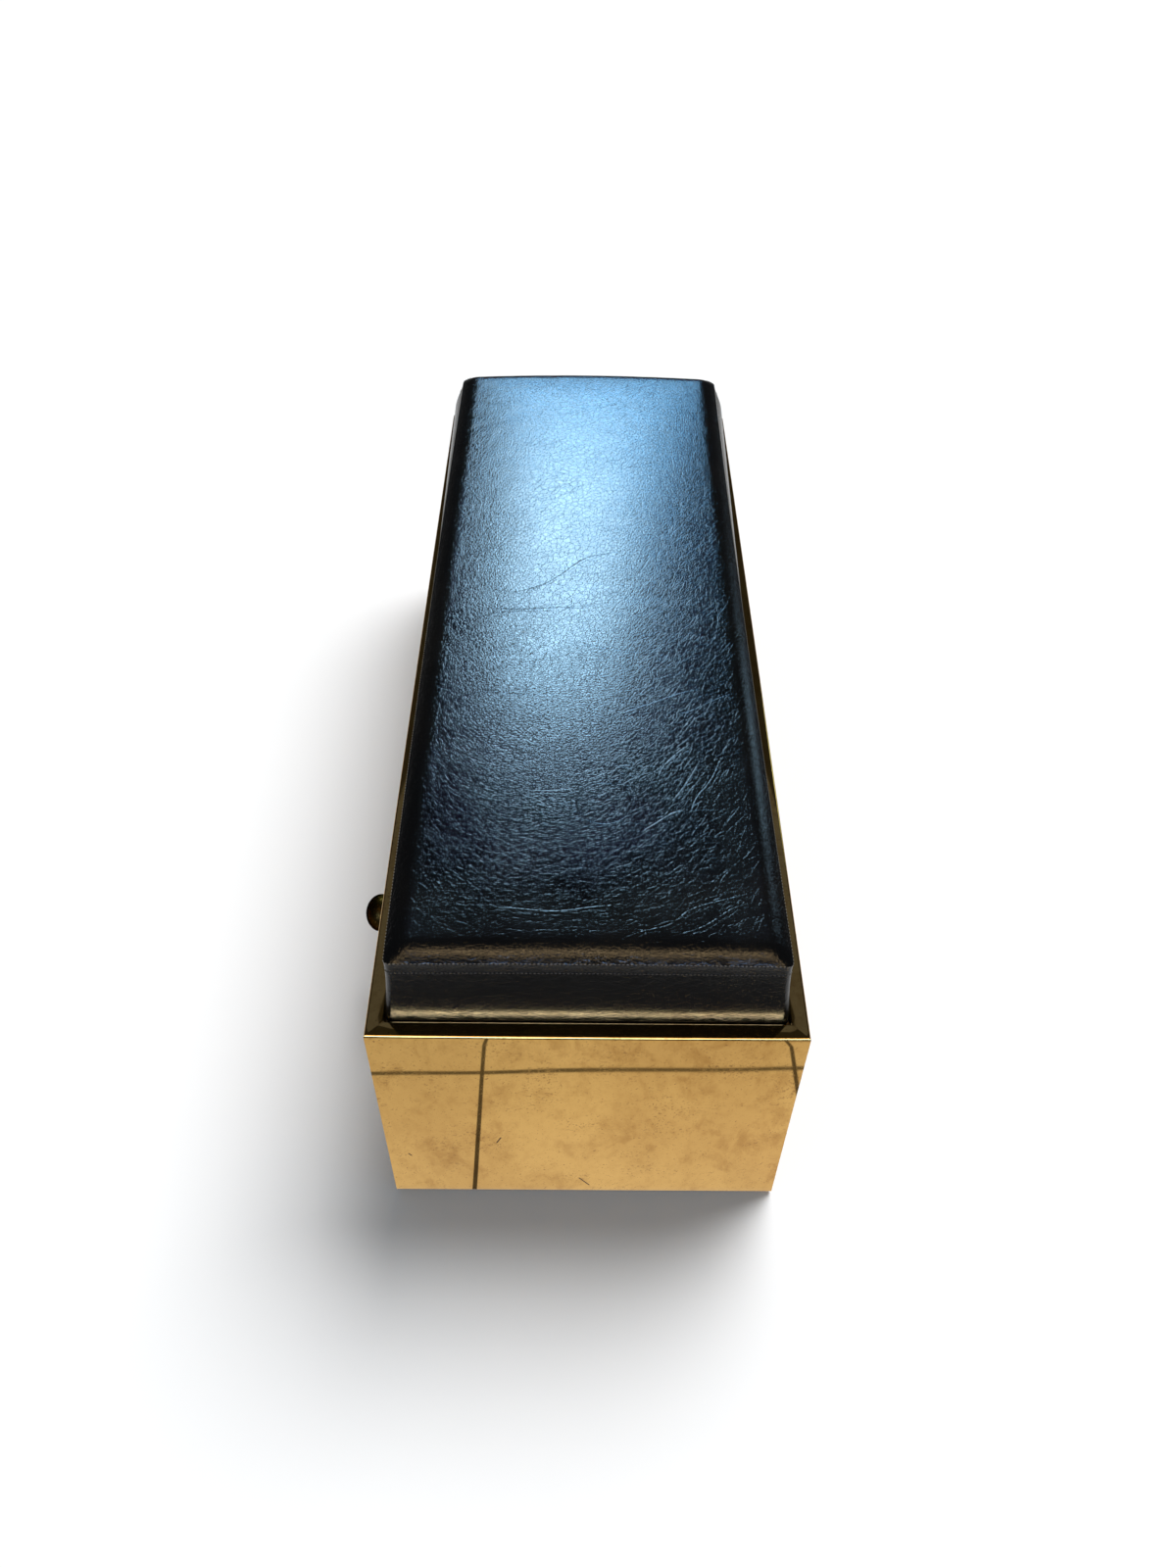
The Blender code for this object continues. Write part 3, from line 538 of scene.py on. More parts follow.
def brass_finish(name, tone, bloom_tone, polish, edge=(1.0, 1.0, 1.0), dashes=()):
    """Polished sheet gone cloudy with age: brown bloom, clusters of small dark spots and short scratches."""
    brass = Finish(name, tone, polish, 1.0)
    upright = brass.stretched((1.0, 1.0, 0.6))
    bloom = brass.patches(9, (0.38, 0.70), vector=upright)
    stains = brass.patches(32, (0.50, 0.70), 5, vector=upright, roughness=0.65, distortion=0.4)
    mottle = brass.patches(90, (0.42, 0.72), 4, vector=upright, roughness=0.6)
    dots = brass.step(brass.cells(240, brass.warped(200, 0.003)), 0.10, 0.24, 1.0, 0.0)
    dots = brass.times(dots, brass.patches(110, (0.52, 0.58), 2))
    grime = brass.patches(240, (0.55, 0.66), roughness=0.7, ends=(0.0, 0.7))
    clusters = brass.patches(13, (0.50, 0.60))
    spots = brass.times(brass.greater(dots, grime), clusters)
    specks = brass.step(brass.cells(90, brass.warped(60, 0.010)), 0.06, 0.10, 1.0, 0.0)
    specks = brass.times(specks, brass.patches(27, (0.53, 0.56), 2))
    marks = brass.greater(spots, specks)
    for turn in SCRATCH_TURNS:
        along = brass.stretched(SCRATCH_COUNTS, turn)
        scratches = brass.patches(1.0, (0.70, 0.73), 1, ends=(0.0, SCRATCH_SHARE), vector=along)
        marks = brass.greater(marks, scratches)
    clouding = brass.plus(brass.times(mottle, MOTTLE_SHARE), brass.times(stains, STAIN_SHARE))
    clouding = brass.plus(clouding, brass.times(bloom, BLOOM_SHARE))
    colour = brass.tint(clouding, tone, bloom_tone)
    colour = brass.tint(brass.times(marks, SPOT_SHARE), colour, BRASS_SPOT)
    for start, end in dashes:
        ends = (seen_at(start, FRONT, Y_AXIS), seen_at(end, FRONT, Y_AXIS))
        colour = brass.tint(brass.dash(*ends, MARK_HALF), colour, BRASS_DENT)
    rough = brass.plus(brass.times(clouding, BLOOM_ROUGHNESS), polish)
    rough = brass.plus(rough, brass.times(marks, SPOT_ROUGHNESS))
    pits = brass.relief(marks, -PIT_DEPTH, 0.5)
    sockets = {"Base Color": colour, "Roughness": rough, "Normal": pits, "Specular Tint": (*edge, 1.0)}
    return brass.show(sockets)


CREASE_ATTRIBUTE = "crease"
CREASE_HALF = 0.0011
HIDE_ROUGHNESS = (0.15, 0.20)
HIDE_SPECULAR = 0.5
SCUFF_ROUGHNESS = 0.10
STROKE_COUNTS = (62, 13, 40)
STROKE_TURN = -0.5
STROKES_ACROSS = (MIDDLE - 0.01, MIDDLE + 0.12)
DRAWN_COUNTS = (5, 34, 24)
DRAWN_TURN = 0.12
DRAWN_ALONG = (-0.15, -0.50)
DRAWN_SHARE = 0.45


def leather_finish():
    """Black hide: pebble grain, a net of fine wrinkles, and the long creases stored in its mesh."""
    hide = Finish("black_leather_hide", LEATHER_TONE, 0.3)
    pebbles = hide.cells(300, hide.warped(150, 0.005), "SMOOTH_F1")
    gaps = hide.step(hide.cells(300, hide.warped(150, 0.005), "DISTANCE_TO_EDGE"), 0.0, 0.20, 1.0, 0.0)
    pores = hide.cloud(1300, 2)
    swell = hide.cloud(30, 3)
    slanted = hide.warped(26, 0.020, hide.stretched((1.0, 0.55, 1.0), (0, 0, -0.9)))
    net = hide.step(hide.cells(46, slanted, "DISTANCE_TO_EDGE"), 0.0, 0.030, 1.0, 0.0)
    net = hide.times(net, hide.patches(14, (0.42, 0.66)))
    fine = hide.step(hide.cells(120, hide.warped(70, 0.008), "DISTANCE_TO_EDGE"), 0.0, 0.06, 1.0, 0.0)
    across = hide.axis(hide.place, X_AXIS)
    along = hide.axis(hide.place, Y_AXIS)
    strokes = hide.wrinkles(STROKE_COUNTS, STROKE_TURN, 0.014)
    strokes = hide.times(strokes, hide.step(across, *STROKES_ACROSS))
    drawn = hide.wrinkles(DRAWN_COUNTS, DRAWN_TURN, 0.009)
    drawn = hide.times(drawn, hide.step(along, *DRAWN_ALONG, 0.0, DRAWN_SHARE))
    broken = hide.patches(38, (0.42, 0.56), 2)
    strokes = hide.times(hide.greater(strokes, drawn), broken)
    wear = hide.patches(9, (0.45, 0.75), 4)
    crease = hide.node("ShaderNodeAttribute", {}, attribute_name=CREASE_ATTRIBUTE).outputs["Vector"]
    off = hide.reckon("ABSOLUTE", hide.axis(crease, X_AXIS))
    line = hide.step(off, 0.0, CREASE_HALF, 1.0, 0.0)
    line = hide.times(line, hide.axis(crease, Y_AXIS))
    colour = hide.tint(wear, LEATHER_TONE, LEATHER_WORN)
    rough = hide.patches(30, (0.3, 0.7), ends=HIDE_ROUGHNESS)
    scuff = hide.times(hide.axis(crease, Z_AXIS), hide.patches(170, (0.38, 0.62)))
    rough = hide.plus(rough, hide.times(scuff, SCUFF_ROUGHNESS))
    relief = None
    wrinkled = ((swell, 0.00025), (line, -0.00013), (net, -0.00008), (strokes, -0.00008), (fine, -0.00006))
    grained = ((pebbles, -0.00007), (gaps, -0.00005), (pores, 0.00001))
    for pattern, depth in wrinkled + grained:
        relief = hide.relief(pattern, depth, under=relief)
    sockets = {"Base Color": colour, "Roughness": rough, "Normal": relief}
    return hide.show(sockets | {"Specular IOR Level": HIDE_SPECULAR})


def thread_finish():
    thread = Finish("waxed_thread", THREAD_TONE, 0.55)
    twist = thread.cloud(1800, 1)
    colour = thread.tint(thread.step(twist, 0.35, 0.65), THREAD_DARK, THREAD_PALE)
    return thread.show({"Base Color": colour, "Normal": thread.relief(twist, 0.0002, 0.5)})


def grain_scale(axis, along, across):
    scale = [across] * 3
    scale[axis] = along
    return tuple(scale)


def plywood_finish(thickness, grain):
    """Veneer with grain along one axis, and plies that show on the cut edges across the thickness."""
    letters = "xyz"
    ply = Finish(f"birch_plywood_{letters[thickness]}{letters[grain]}", PLY_FACE, 0.6)
    streaks = ply.cloud(1.0, 5, vector=ply.stretched(grain_scale(grain, 5, 110)), distortion=0.4)
    face = ply.tint(ply.step(streaks, 0.35, 0.72), PLY_FACE, PLY_GRAIN)
    layer = ply.reckon("PINGPONG", ply.axis(ply.place, thickness), PLY_LAYER)
    layer = ply.step(layer, PLY_LAYER * 0.4, PLY_LAYER * 0.6)
    fibres = ply.cloud(700, 2)
    edge = ply.tint(layer, PLY_DARK_LAYER, PLY_FACE)
    edge = ply.tint(ply.times(fibres, 0.5), edge, PLY_GRAIN)
    facing = ply.reckon("ABSOLUTE", ply.axis(ply.coordinates.outputs["Normal"], thickness))
    colour = ply.tint(ply.step(facing, 0.5, 0.8), edge, face)
    rough = ply.step(streaks, 0.3, 0.7, 0.5, 0.7)
    relief = ply.relief(streaks, 0.0003, 0.4)
    return ply.show({"Base Color": colour, "Roughness": rough, "Normal": relief})


def hardwood_finish(grain):
    wood = Finish(f"beech_{'xyz'[grain]}", HARDWOOD_FACE, 0.5)
    rings = wood.cloud(1.0, 4, vector=wood.stretched(grain_scale(grain, 3, 70)), distortion=0.8)
    flecks = wood.cloud(1.0, 2, vector=wood.stretched(grain_scale(grain, 90, 900)))
    share = wood.times(wood.step(rings, 0.35, 0.70), 0.75)
    colour = wood.tint(share, HARDWOOD_FACE, HARDWOOD_GRAIN)
    colour = wood.tint(wood.step(flecks, 0.62, 0.72, 0.0, 0.5), colour, HARDWOOD_GRAIN)
    rough = wood.step(rings, 0.3, 0.7, 0.42, 0.58)
    relief = wood.relief(flecks, 0.0002, 0.3)
    return wood.show({"Base Color": colour, "Roughness": rough, "Normal": relief})


def zinc_finish():
    zinc = Finish("zinc_plate", ZINC_TONE, 0.3, 1.0)
    spangle = zinc.cells(900)
    colour = zinc.tint(zinc.step(spangle, 0.1, 0.6), ZINC_PALE, ZINC_DARK)
    rough = zinc.step(spangle, 0.1, 0.7, 0.25, 0.45)
    return zinc.show({"Base Color": colour, "Roughness": rough})


def nylon_finish():
    nylon = Finish("black_nylon", NYLON_TONE, 0.5)
    texture = nylon.cloud(900, 3)
    colour = nylon.tint(nylon.step(texture, 0.35, 0.7), NYLON_DARK, NYLON_PALE)
    rough = nylon.patches(60, (0.3, 0.7), ends=(0.42, 0.62))
    relief = nylon.relief(texture, 0.0001, 0.4)
    return nylon.show({"Base Color": colour, "Roughness": rough, "Normal": relief})


BRASS = brass_finish("polished_brass_sheet", BRASS_TONE, BRASS_BLOOM, BRASS_POLISH, dashes=FRONT_MARKS)
DARK_BRASS = brass_finish("near_black_brass", DARK_BRASS_TONE, DARK_BRASS_BLOOM, DARK_BRASS_POLISH,
                          DARK_BRASS_EDGE)
HIDE = leather_finish()
THREAD = thread_finish()
ZINC = zinc_finish()
NYLON = nylon_finish()


# Shared modelling steps

def new_object(name, form, finish):
    """Makes an object of one finish from a bmesh."""
    mesh = bpy.data.meshes.new(name)
    form.to_mesh(mesh)
    form.free()
    mesh.materials.append(finish)
    made = bpy.data.objects.new(name, mesh)
    bpy.context.scene.collection.objects.link(made)
    return made


def add_piece(name, form, finish, body):
    """Makes a named piece from a bmesh, shades it and lets it ride on a body."""
    made = new_object(name, form, finish)
    made.data.shade_smooth()
    made.data.set_sharp_from_angle(angle=SHARP)
    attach(made, body)
    return made


def open_edges(mesh):
    """The edges of a mesh that bound only one face."""
    count = {}
    for face in mesh.polygons:
        for edge in face.edge_keys:
            count[edge] = count.get(edge, 0) + 1
    return [edge for edge, faces in count.items() if faces == 1]


def thicken(made):
    """Gives an open sheet its thickness behind the side that shows, with crisp cut edges."""
    crisp = {tuple(sorted(edge)) for edge in open_edges(made.data)}
    for edge in made.data.edges:
        if tuple(sorted(edge.vertices)) in crisp:
            edge.use_edge_sharp = True
    solid = made.modifiers.new("thickness", "SOLIDIFY")
    solid.thickness = SHEET
    solid.offset = -1
    solid.use_even_offset = True


def extrude_edges(form, edges, move):
    made = bmesh.ops.extrude_edge_only(form, edges=edges)["geom"]
    corners = [item for item in made if isinstance(item, bmesh.types.BMVert)]
    bmesh.ops.translate(form, vec=move, verts=corners)
    return [item for item in made if isinstance(item, bmesh.types.BMEdge) and item.is_boundary]


def edges_where(form, test):
    return [edge for edge in form.edges if all(test(corner.co) for corner in edge.verts)]


def round_edges(form, edges, radius, steps):
    bmesh.ops.bevel(form, geom=edges, offset=radius, affect="EDGES", segments=steps, profile=0.5,
                    material=-1)


def near(first, second):
    return abs(first - second) < MERGE


def fade(distance, width):
    """Rises smoothly from 0 at an edge to 1 at a width from it."""
    share = min(max(distance / width, 0), 1)
    return share * share * (3 - 2 * share)


def slice_through(form, point, direction, clear_outer=False):
    everything = [*form.verts, *form.edges, *form.faces]
    bmesh.ops.bisect_plane(form, geom=everything, dist=MERGE, plane_co=point, plane_no=direction,
                           clear_outer=clear_outer)


def face_out(form, direction):
    """Turns every face of an open sheet so that most of it looks in a direction."""
    bmesh.ops.recalc_face_normals(form, faces=form.faces)
    if sum(face.calc_area() * face.normal.dot(direction) for face in form.faces) < 0:
        bmesh.ops.reverse_faces(form, faces=form.faces)


# Brass skin. A wall is made lying along X from its left end, facing -Y, then turned to its side of the box

def wall_panel(form, length, height):
    """The flat outer face, in even cells."""
    columns = round(length / CELL)
    rows = round(height / CELL)
    bmesh.ops.create_grid(form, x_segments=columns, y_segments=rows, size=0.5)
    bmesh.ops.scale(form, vec=(length, height, 1), verts=form.verts)
    bmesh.ops.rotate(form, cent=(0, 0, 0), matrix=Matrix.Rotation(math.pi / 2, 3, "X"), verts=form.verts)


def cut_opening(form, low, high):
    """Cuts a rectangle out of the outer face and turns its edges inwards as a lining."""
    for point, direction in ((low, (1, 0, 0)), (high, (1, 0, 0)), (low, (0, 0, 1)), (high, (0, 0, 1))):
        slice_through(form, point, direction)

    def within(place):
        return near(place.y, 0) and low.x < place.x < high.x and low.z < place.z < high.z

    def bordering(place):
        inside = low.x - MERGE < place.x < high.x + MERGE and low.z - MERGE < place.z < high.z + MERGE
        return near(place.y, 0) and inside

    hole = [face for face in form.faces if within(face.calc_center_median())]
    bmesh.ops.delete(form, geom=hole, context="FACES")
    rim = [edge for edge in edges_where(form, bordering) if edge.is_boundary]
    extrude_edges(form, rim, (0, LINING, 0))
    folds = [edge for edge in edges_where(form, bordering) if not edge.is_boundary]
    round_edges(form, folds, LINING_RADIUS, FOLD_STEPS)


def wander(form, seed, inset):
    """Lets a sheet's outer face wander a little, as thin sheet does, by its inset from the edges."""
    for corner in form.verts:
        place = corner.co
        if place.y < FOLD_RADIUS:
            wave = noise.noise(Vector((place.x / WAVE_SIZE, seed, place.z / WAVE_SIZE)))
            corner.co.y += WAVE_HEIGHT * wave * fade(inset(place), WAVE_FADE)


def bow_rim(form, length):
    """Bows a wall's top edge outwards."""
    for corner in form.verts:
        place = corner.co
        along = 2 * place.x / length - 1
        drop = 1 - min((RIM - place.z) / RIM_BOW_DEPTH, 1)
        inward = 1 - min(max(place.y, 0) / RIM_WIDTH, 1)
        corner.co.y -= RIM_BOW * (1 - along * along) * drop * drop * inward


def hang_sheet(form, side, body, place, turn):
    """Turns a folded sheet to its side of the box and gives it its thickness."""
    face_out(form, Vector((0, -1, 0)))
    turned = Matrix.Translation(place) @ Matrix.Rotation(turn, 4, "Z")
    bmesh.ops.transform(form, matrix=turned, verts=form.verts)
    sheet = add_piece(f"{side}_brass", form, BRASS, body)
    thicken(sheet)
    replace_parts(sheet, f"{side}_cladding")


def brass_wall(side, start, turn, length, opening=None):
    """One folded sheet: hem, outer face, rim, and the return down to the deck, mitred at both ends."""
    form = bmesh.new()
    height = RIM - BASE
    wall_panel(form, length, height)
    bmesh.ops.translate(form, vec=(length / 2, 0, BASE + height / 2), verts=form.verts)
    rim = extrude_edges(form, edges_where(form, lambda place: near(place.z, RIM)), (0, RIM_WIDTH, 0))
    rim = [edge for edge in rim if all(near(corner.co.y, RIM_WIDTH) for corner in edge.verts)]
    extrude_edges(form, rim, (0, 0, DECK_TOP + FIT - RIM))
    base = edges_where(form, lambda place: near(place.z, BASE) and near(place.y, 0))
    extrude_edges(form, base, (0, HEM, 0))
    folds = edges_where(form, lambda place: near(place.z, RIM) and near(place.y, 0))
    folds += edges_where(form, lambda place: near(place.z, RIM) and near(place.y, RIM_WIDTH))
    folds += edges_where(form, lambda place: near(place.z, BASE) and near(place.y, 0))
    round_edges(form, folds, FOLD_RADIUS, FOLD_STEPS)
    if opening:
        cut_opening(form, *opening)

    def inset(place):
        edge = min(place.x, length - place.x, place.z - BASE, RIM - place.z)
        if opening:
            low, high = opening
            beside = max(low.x - place.x, place.x - high.x, low.z - place.z, place.z - high.z)
            edge = min(edge, max(beside, 0))
        return edge

    wander(form, WAVE_SEEDS[side], inset)
    bow_rim(form, length)
    for end, direction in ((FIT / 2, (-1, 1, 0)), (length - FIT / 2, (1, 1, 0))):
        slice_through(form, (end, 0, 0), direction, clear_outer=True)
    hang_sheet(form, side, "carcass", start, turn)


def drawer_tray():
    """The drawer's own brass, folded back over the four edges of its front board."""
    form = bmesh.new()
    length = TRAY_HIGH.y - TRAY_LOW.y
    height = TRAY_HIGH.z - TRAY_LOW.z
    flange = TRAY_HIGH.x - TRAY_LOW.x
    wall_panel(form, length, height)
    extrude_edges(form, [edge for edge in form.edges if edge.is_boundary], (0, flange, 0))
    folds = [edge for edge in edges_where(form, lambda place: near(place.y, 0)) if len(edge.link_faces) == 2
             and any(face.normal.y ** 2 < 0.5 for face in edge.link_faces)]
    round_edges(form, folds, FOLD_RADIUS, FOLD_STEPS)

    def inset(place):
        return min(length / 2 - abs(place.x), height / 2 - abs(place.z))

    wander(form, WAVE_SEEDS["drawer_front"], inset)
    middle = Vector((TRAY_LOW.x, (TRAY_LOW.y + TRAY_HIGH.y) / 2, (TRAY_LOW.z + TRAY_HIGH.z) / 2))
    hang_sheet(form, "drawer_front", "drawer", middle, -math.pi / 2)


def brass_skin():
    width, depth = RIGHT - LEFT, REAR - FRONT
    low = Vector((REAR - TRAY_HIGH.y - REVEAL, 0, TRAY_LOW.z - REVEAL))
    high = Vector((REAR - TRAY_LOW.y + REVEAL, 0, TRAY_HIGH.z + REVEAL))
    quarter = math.pi / 2
    brass_wall("front_end", (LEFT, FRONT, 0), 0, width)
    brass_wall("right_side", (RIGHT, FRONT, 0), quarter, depth)
    brass_wall("rear_end", (RIGHT, REAR, 0), 2 * quarter, width)
    brass_wall("left_side", (LEFT, REAR, 0), -quarter, depth, (low, high))
    drawer_tray()


# Knob, turned about an axis that points out of the drawer's front

def turned_piece(name, profile):
    """Spins (radius, distance out from the rose's face) points about the knob's axis."""
    form = bmesh.new()
    points = [form.verts.new((ROSE_FACE - reach, 0, radius)) for radius, reach in profile]
    edges = [form.edges.new(pair) for pair in zip(points, points[1:])]
    bmesh.ops.spin(form, geom=[*points, *edges], cent=(0, 0, 0), axis=(1, 0, 0), angle=math.tau,
                   steps=TURN_STEPS, use_merge=True)
    bmesh.ops.remove_doubles(form, verts=form.verts, dist=MERGE)
    bmesh.ops.recalc_face_normals(form, faces=form.faces)
    bmesh.ops.translate(form, vec=(0, KNOB_AXIS.y, KNOB_AXIS.z), verts=form.verts)
    return add_piece(name, form, DARK_BRASS, "drawer")


def knob():
    reach = ROSE_FACE - KNOB_TIP
    seat = ROSE_FACE - KNOB_SEAT
    middle = reach - KNOB_HALF
    start = math.acos((seat - middle) / KNOB_HALF)
    turns = [start * step / PROFILE_STEPS for step in range(PROFILE_STEPS + 1)]
    head = [(KNOB_RADIUS * math.sin(turn), middle + KNOB_HALF * math.cos(turn)) for turn in turns]
    head[0] = (0, reach)
    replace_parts(turned_piece("round_knob", [*head, (0, seat)]), "knob")

    foot = FIT
    top = seat - FIT
    flanks = []
    for step in range(PROFILE_STEPS + 1):
        share = step / PROFILE_STEPS
        flank = STEM_SEAT_RADIUS + (STEM_FOOT_RADIUS - STEM_SEAT_RADIUS) * share
        radius = flank - (flank - STEM_WAIST_RADIUS) * math.sin(math.pi * share)
        flanks.append((radius, top + (foot - top) * share))
    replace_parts(turned_piece("waisted_stem", [(0, top), *flanks, (0, foot)]), "knob_stem")

    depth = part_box("knob_rose")[1].x - ROSE_FACE
    quarter = [math.pi / 2 * step / EDGE_STEPS for step in range(EDGE_STEPS + 1)]
    inner = ROSE_RADIUS - ROSE_EDGE
    edge = [(inner + ROSE_EDGE * math.sin(turn), ROSE_EDGE * (math.cos(turn) - 1)) for turn in quarter]
    outline = [(0, 0), *edge, (ROSE_RADIUS, -depth), (0, -depth)]
    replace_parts(turned_piece("knob_rose_disc", outline), "knob_rose")


# Cushion

def flared(depth, flare):
    """How far the boxing stands out at a depth below the seam: it flares to the rim, then tucks under."""
    return flare * min(depth / FLARE_DEPTH, 1) ** FLARE_POWER - TUCK * (depth / BOXING) ** TUCK_POWER


def rounded(x, y, half_x, half_y, radius):
    """Moves a point of a rectangle so that its corners become round."""
    inner_x = max(min(x, half_x - radius), radius - half_x)
    inner_y = max(min(y, half_y - radius), radius - half_y)
    over = Vector((x - inner_x, y - inner_y))
    if over.length < MERGE:
        return x, y
    reach = max(abs(over.x), abs(over.y)) / over.length
    return inner_x + over.x * reach, inner_y + over.y * reach


def plan_point(u, v, depth):
    """A place on the cushion's plan at a depth below the seam, from shares of the half sizes."""
    free = 1 - min(depth / FLARE_DEPTH, 1)
    bow = FAR_BOW if v > 0 else -END_DRAW
    half_x = HALF_ACROSS + flared(depth, SIDE_FLARE) - SIDE_DRAW * free * (1 - v * v)
    sunk = min(depth / SWELL_DEPTH, 1)
    half_x += SIDE_SWELL * math.sin(math.pi * sunk ** SWELL_POWER) * ((1 + v) / 2) ** SWELL_FADE
    half_y = HALF_ALONG + flared(depth, END_FLARE) + bow * free * (1 - u * u)
    radius = NEAR_CORNER_RADIUS if v < 0 else FAR_CORNER_RADIUS
    radius += CORNER_SPREAD * math.sin(math.pi * depth / BOXING)
    x, y = rounded(u * half_x, v * half_y, half_x, half_y, radius)
    return x - SIDE_SWAY * free * (1 - v * v), y


def roll(inset, width, power):
    """The share of the crown's rise at an inset from the seam."""
    return 1 - (1 - min(inset / width, 1)) ** power


def top_point(u, v):
    x, y = plan_point(u, v, 0)
    inset_x = (1 - abs(u)) * HALF_ACROSS
    inset_y = (1 - abs(v)) * HALF_ALONG
    dome = (1 - u * u) * (1 - v * v) * DOME
    rise = roll(inset_x, *SIDE_ROLL) * roll(inset_y, *(NEAR_ROLL if v < 0 else FAR_ROLL))
    return Vector((x, y, SEAM + (CROWN - DOME) * rise + dome))


def side_point(u, v, ring):
    depth = RING_DEPTHS[ring]
    x, y = plan_point(u, v, depth)
    out = Vector((math.trunc(u * (1 + MERGE)), math.trunc(v * (1 + MERGE)), 0)).normalized()
    push = 0
    if ring == 0:
        push = SEAM_LIP
    elif ring == STITCH_RING:
        push = -STITCH_DIP
    if near(abs(u), 1) and near(abs(v), 1):
        push -= CORNER_DIP
    return Vector((x, y, SEAM - depth)) + out * push


def spread(share):
    """Even steps from -1 to 1, set a little closer together towards the edges."""
    return (1 - EDGE_PULL) * share + EDGE_PULL * math.sin(share * math.pi / 2)


def cushion_grid():
    """A cube cut into cells and moved to the cushion's shape, with its sewn and resting corners."""
    form = bmesh.new()
    bmesh.ops.create_cube(form, size=2.0)
    tall = len(RING_DEPTHS) - 1
    for axis, count in enumerate((*SEAT_CELLS, tall)):
        lines = [edge for edge in form.edges if not near(edge.verts[0].co[axis], edge.verts[1].co[axis])]
        bmesh.ops.subdivide_edges(form, edges=lines, cuts=count - 1, use_grid_fill=True)
    creased = form.edges.layers.float.new("crease_edge")
    sewn = set()
    for corner in form.verts:
        u, v = spread(corner.co.x), spread(corner.co.y)
        ring = round((1 - corner.co.z) / 2 * tall)
        brink = near(abs(u), 1) or near(abs(v), 1)
        if ring == 0 and not brink:
            corner.co = top_point(u, v)
        elif brink:
            corner.co = side_point(u, v, ring)
            if ring in (0, STITCH_RING) or (near(abs(u), 1) and near(abs(v), 1)):
                sewn.add(corner)
        else:
            x, y = plan_point(u, v, BOXING)
            corner.co = Vector((x, y, UNDERSIDE))
        if ring == tall:
            sewn.add(corner)
    for edge in form.edges:
        if all(corner in sewn and near(corner.co.z, SEAM) for corner in edge.verts):
            edge[creased] = SEAM_CREASE
    bmesh.ops.translate(form, vec=(SEAT_MIDDLE.x, SEAT_MIDDLE.y, 0), verts=form.verts)
    bmesh.ops.recalc_face_normals(form, faces=form.faces)
    form.verts.index_update()
    return form, sorted(corner.index for corner in sewn)


def places_of(mesh):
    places = np.empty(len(mesh.vertices) * 3)
    mesh.vertices.foreach_get("co", places)
    return places.reshape(-1, 3)


def settle(cushion, sewn):
    """Blows the leather out against its seams, scales the moves down and leaves them in the mesh."""
    scene = bpy.context.scene
    group = cushion.vertex_groups.new(name="sewn")
    group.add(sewn, 1.0, "REPLACE")
    cloth = cushion.modifiers.new("settle", "CLOTH")
    cloth.settings.quality = SETTLE_QUALITY
    cloth.settings.tension_stiffness = SETTLE_STIFFNESS
    cloth.settings.compression_stiffness = SETTLE_STIFFNESS
    cloth.settings.bending_stiffness = SETTLE_BENDING
    cloth.settings.use_pressure = True
    cloth.settings.uniform_pressure_force = SETTLE_PRESSURE
    cloth.settings.shrink_min = SETTLE_SHRINK
    cloth.settings.vertex_group_mass = group.name
    cloth.settings.effector_weights.gravity = 0
    cloth.collision_settings.use_collision = False
    cloth.point_cache.frame_end = SETTLE_FRAMES
    for step in range(1, SETTLE_FRAMES + 1):
        scene.frame_set(step)
    graph = bpy.context.evaluated_depsgraph_get()
    settled = places_of(cushion.evaluated_get(graph).data)
    start = places_of(cushion.data)
    move = settled - start
    longest = np.linalg.norm(move, axis=1).max()
    move *= min(1, SETTLE_CAP / longest)
    cushion.modifiers.remove(cloth)
    cushion.vertex_groups.remove(group)
    scene.frame_set(1)
    cushion.data.vertices.foreach_set("co", (start + move).ravel())
    cushion.data.update()


def refine(cushion):
    """One subdivision, left in the mesh."""
    finer = cushion.modifiers.new("finer", "SUBSURF")
    finer.levels = 1
    finer.render_levels = 1
    graph = bpy.context.evaluated_depsgraph_get()
    mesh = bpy.data.meshes.new_from_object(cushion.evaluated_get(graph))
    cushion.modifiers.remove(finer)
    cushion.data = mesh
    mesh.name = cushion.name


# Long creases in the seat, as the photo's pixels along each one
LONG_CREASES = (
    ((488, 786), (522, 779), (550, 773), (577, 760)),
    ((534, 805), (560, 806), (590, 804)),
    ((496, 920), (526, 924), (566, 927), (603, 923), (628, 921)),
    ((614, 964), (652, 948), (684, 940), (708, 924), (756, 911), (775, 904)),
    ((670, 956), (716, 943), (748, 924), (775, 916)),
    ((644, 854), (670, 838), (689, 827), (708, 825), (754, 823)),
    ((435, 718), (470, 709), (502, 704), (520, 708), (561, 709), (582, 708)),
    ((587, 656), (622, 663), (665, 667)),
    ((623, 731), (657, 720), (699, 705), (731, 701)),
    ((680, 730), (702, 725), (725, 714), (744, 706), (763, 704)),
    ((495, 608), (542, 601), (568, 590), (595, 572), (620, 566), (655, 560)),
    ((490, 620), (540, 622), (615, 619)),
    ((668, 800), (676, 782), (690, 768), (706, 756)),
    ((684, 818), (694, 806), (706, 788), (716, 770)),
    ((700, 832), (712, 810), (726, 792), (742, 756)),
)
# The ring mark's centre and one point of it, and the middles of the scuffs, as pixels too
RING_MARK = ((616, 819), (644, 819))
RING_STRENGTH = 1.8
SCUFFS = ((526, 656), (534, 646), (684, 440))
SCUFF_SIZE = 0.014
CREASE_REACH = 0.006
CREASE_STEPS = 12
CREASE_TAPER = 5
RING_STEPS = 72


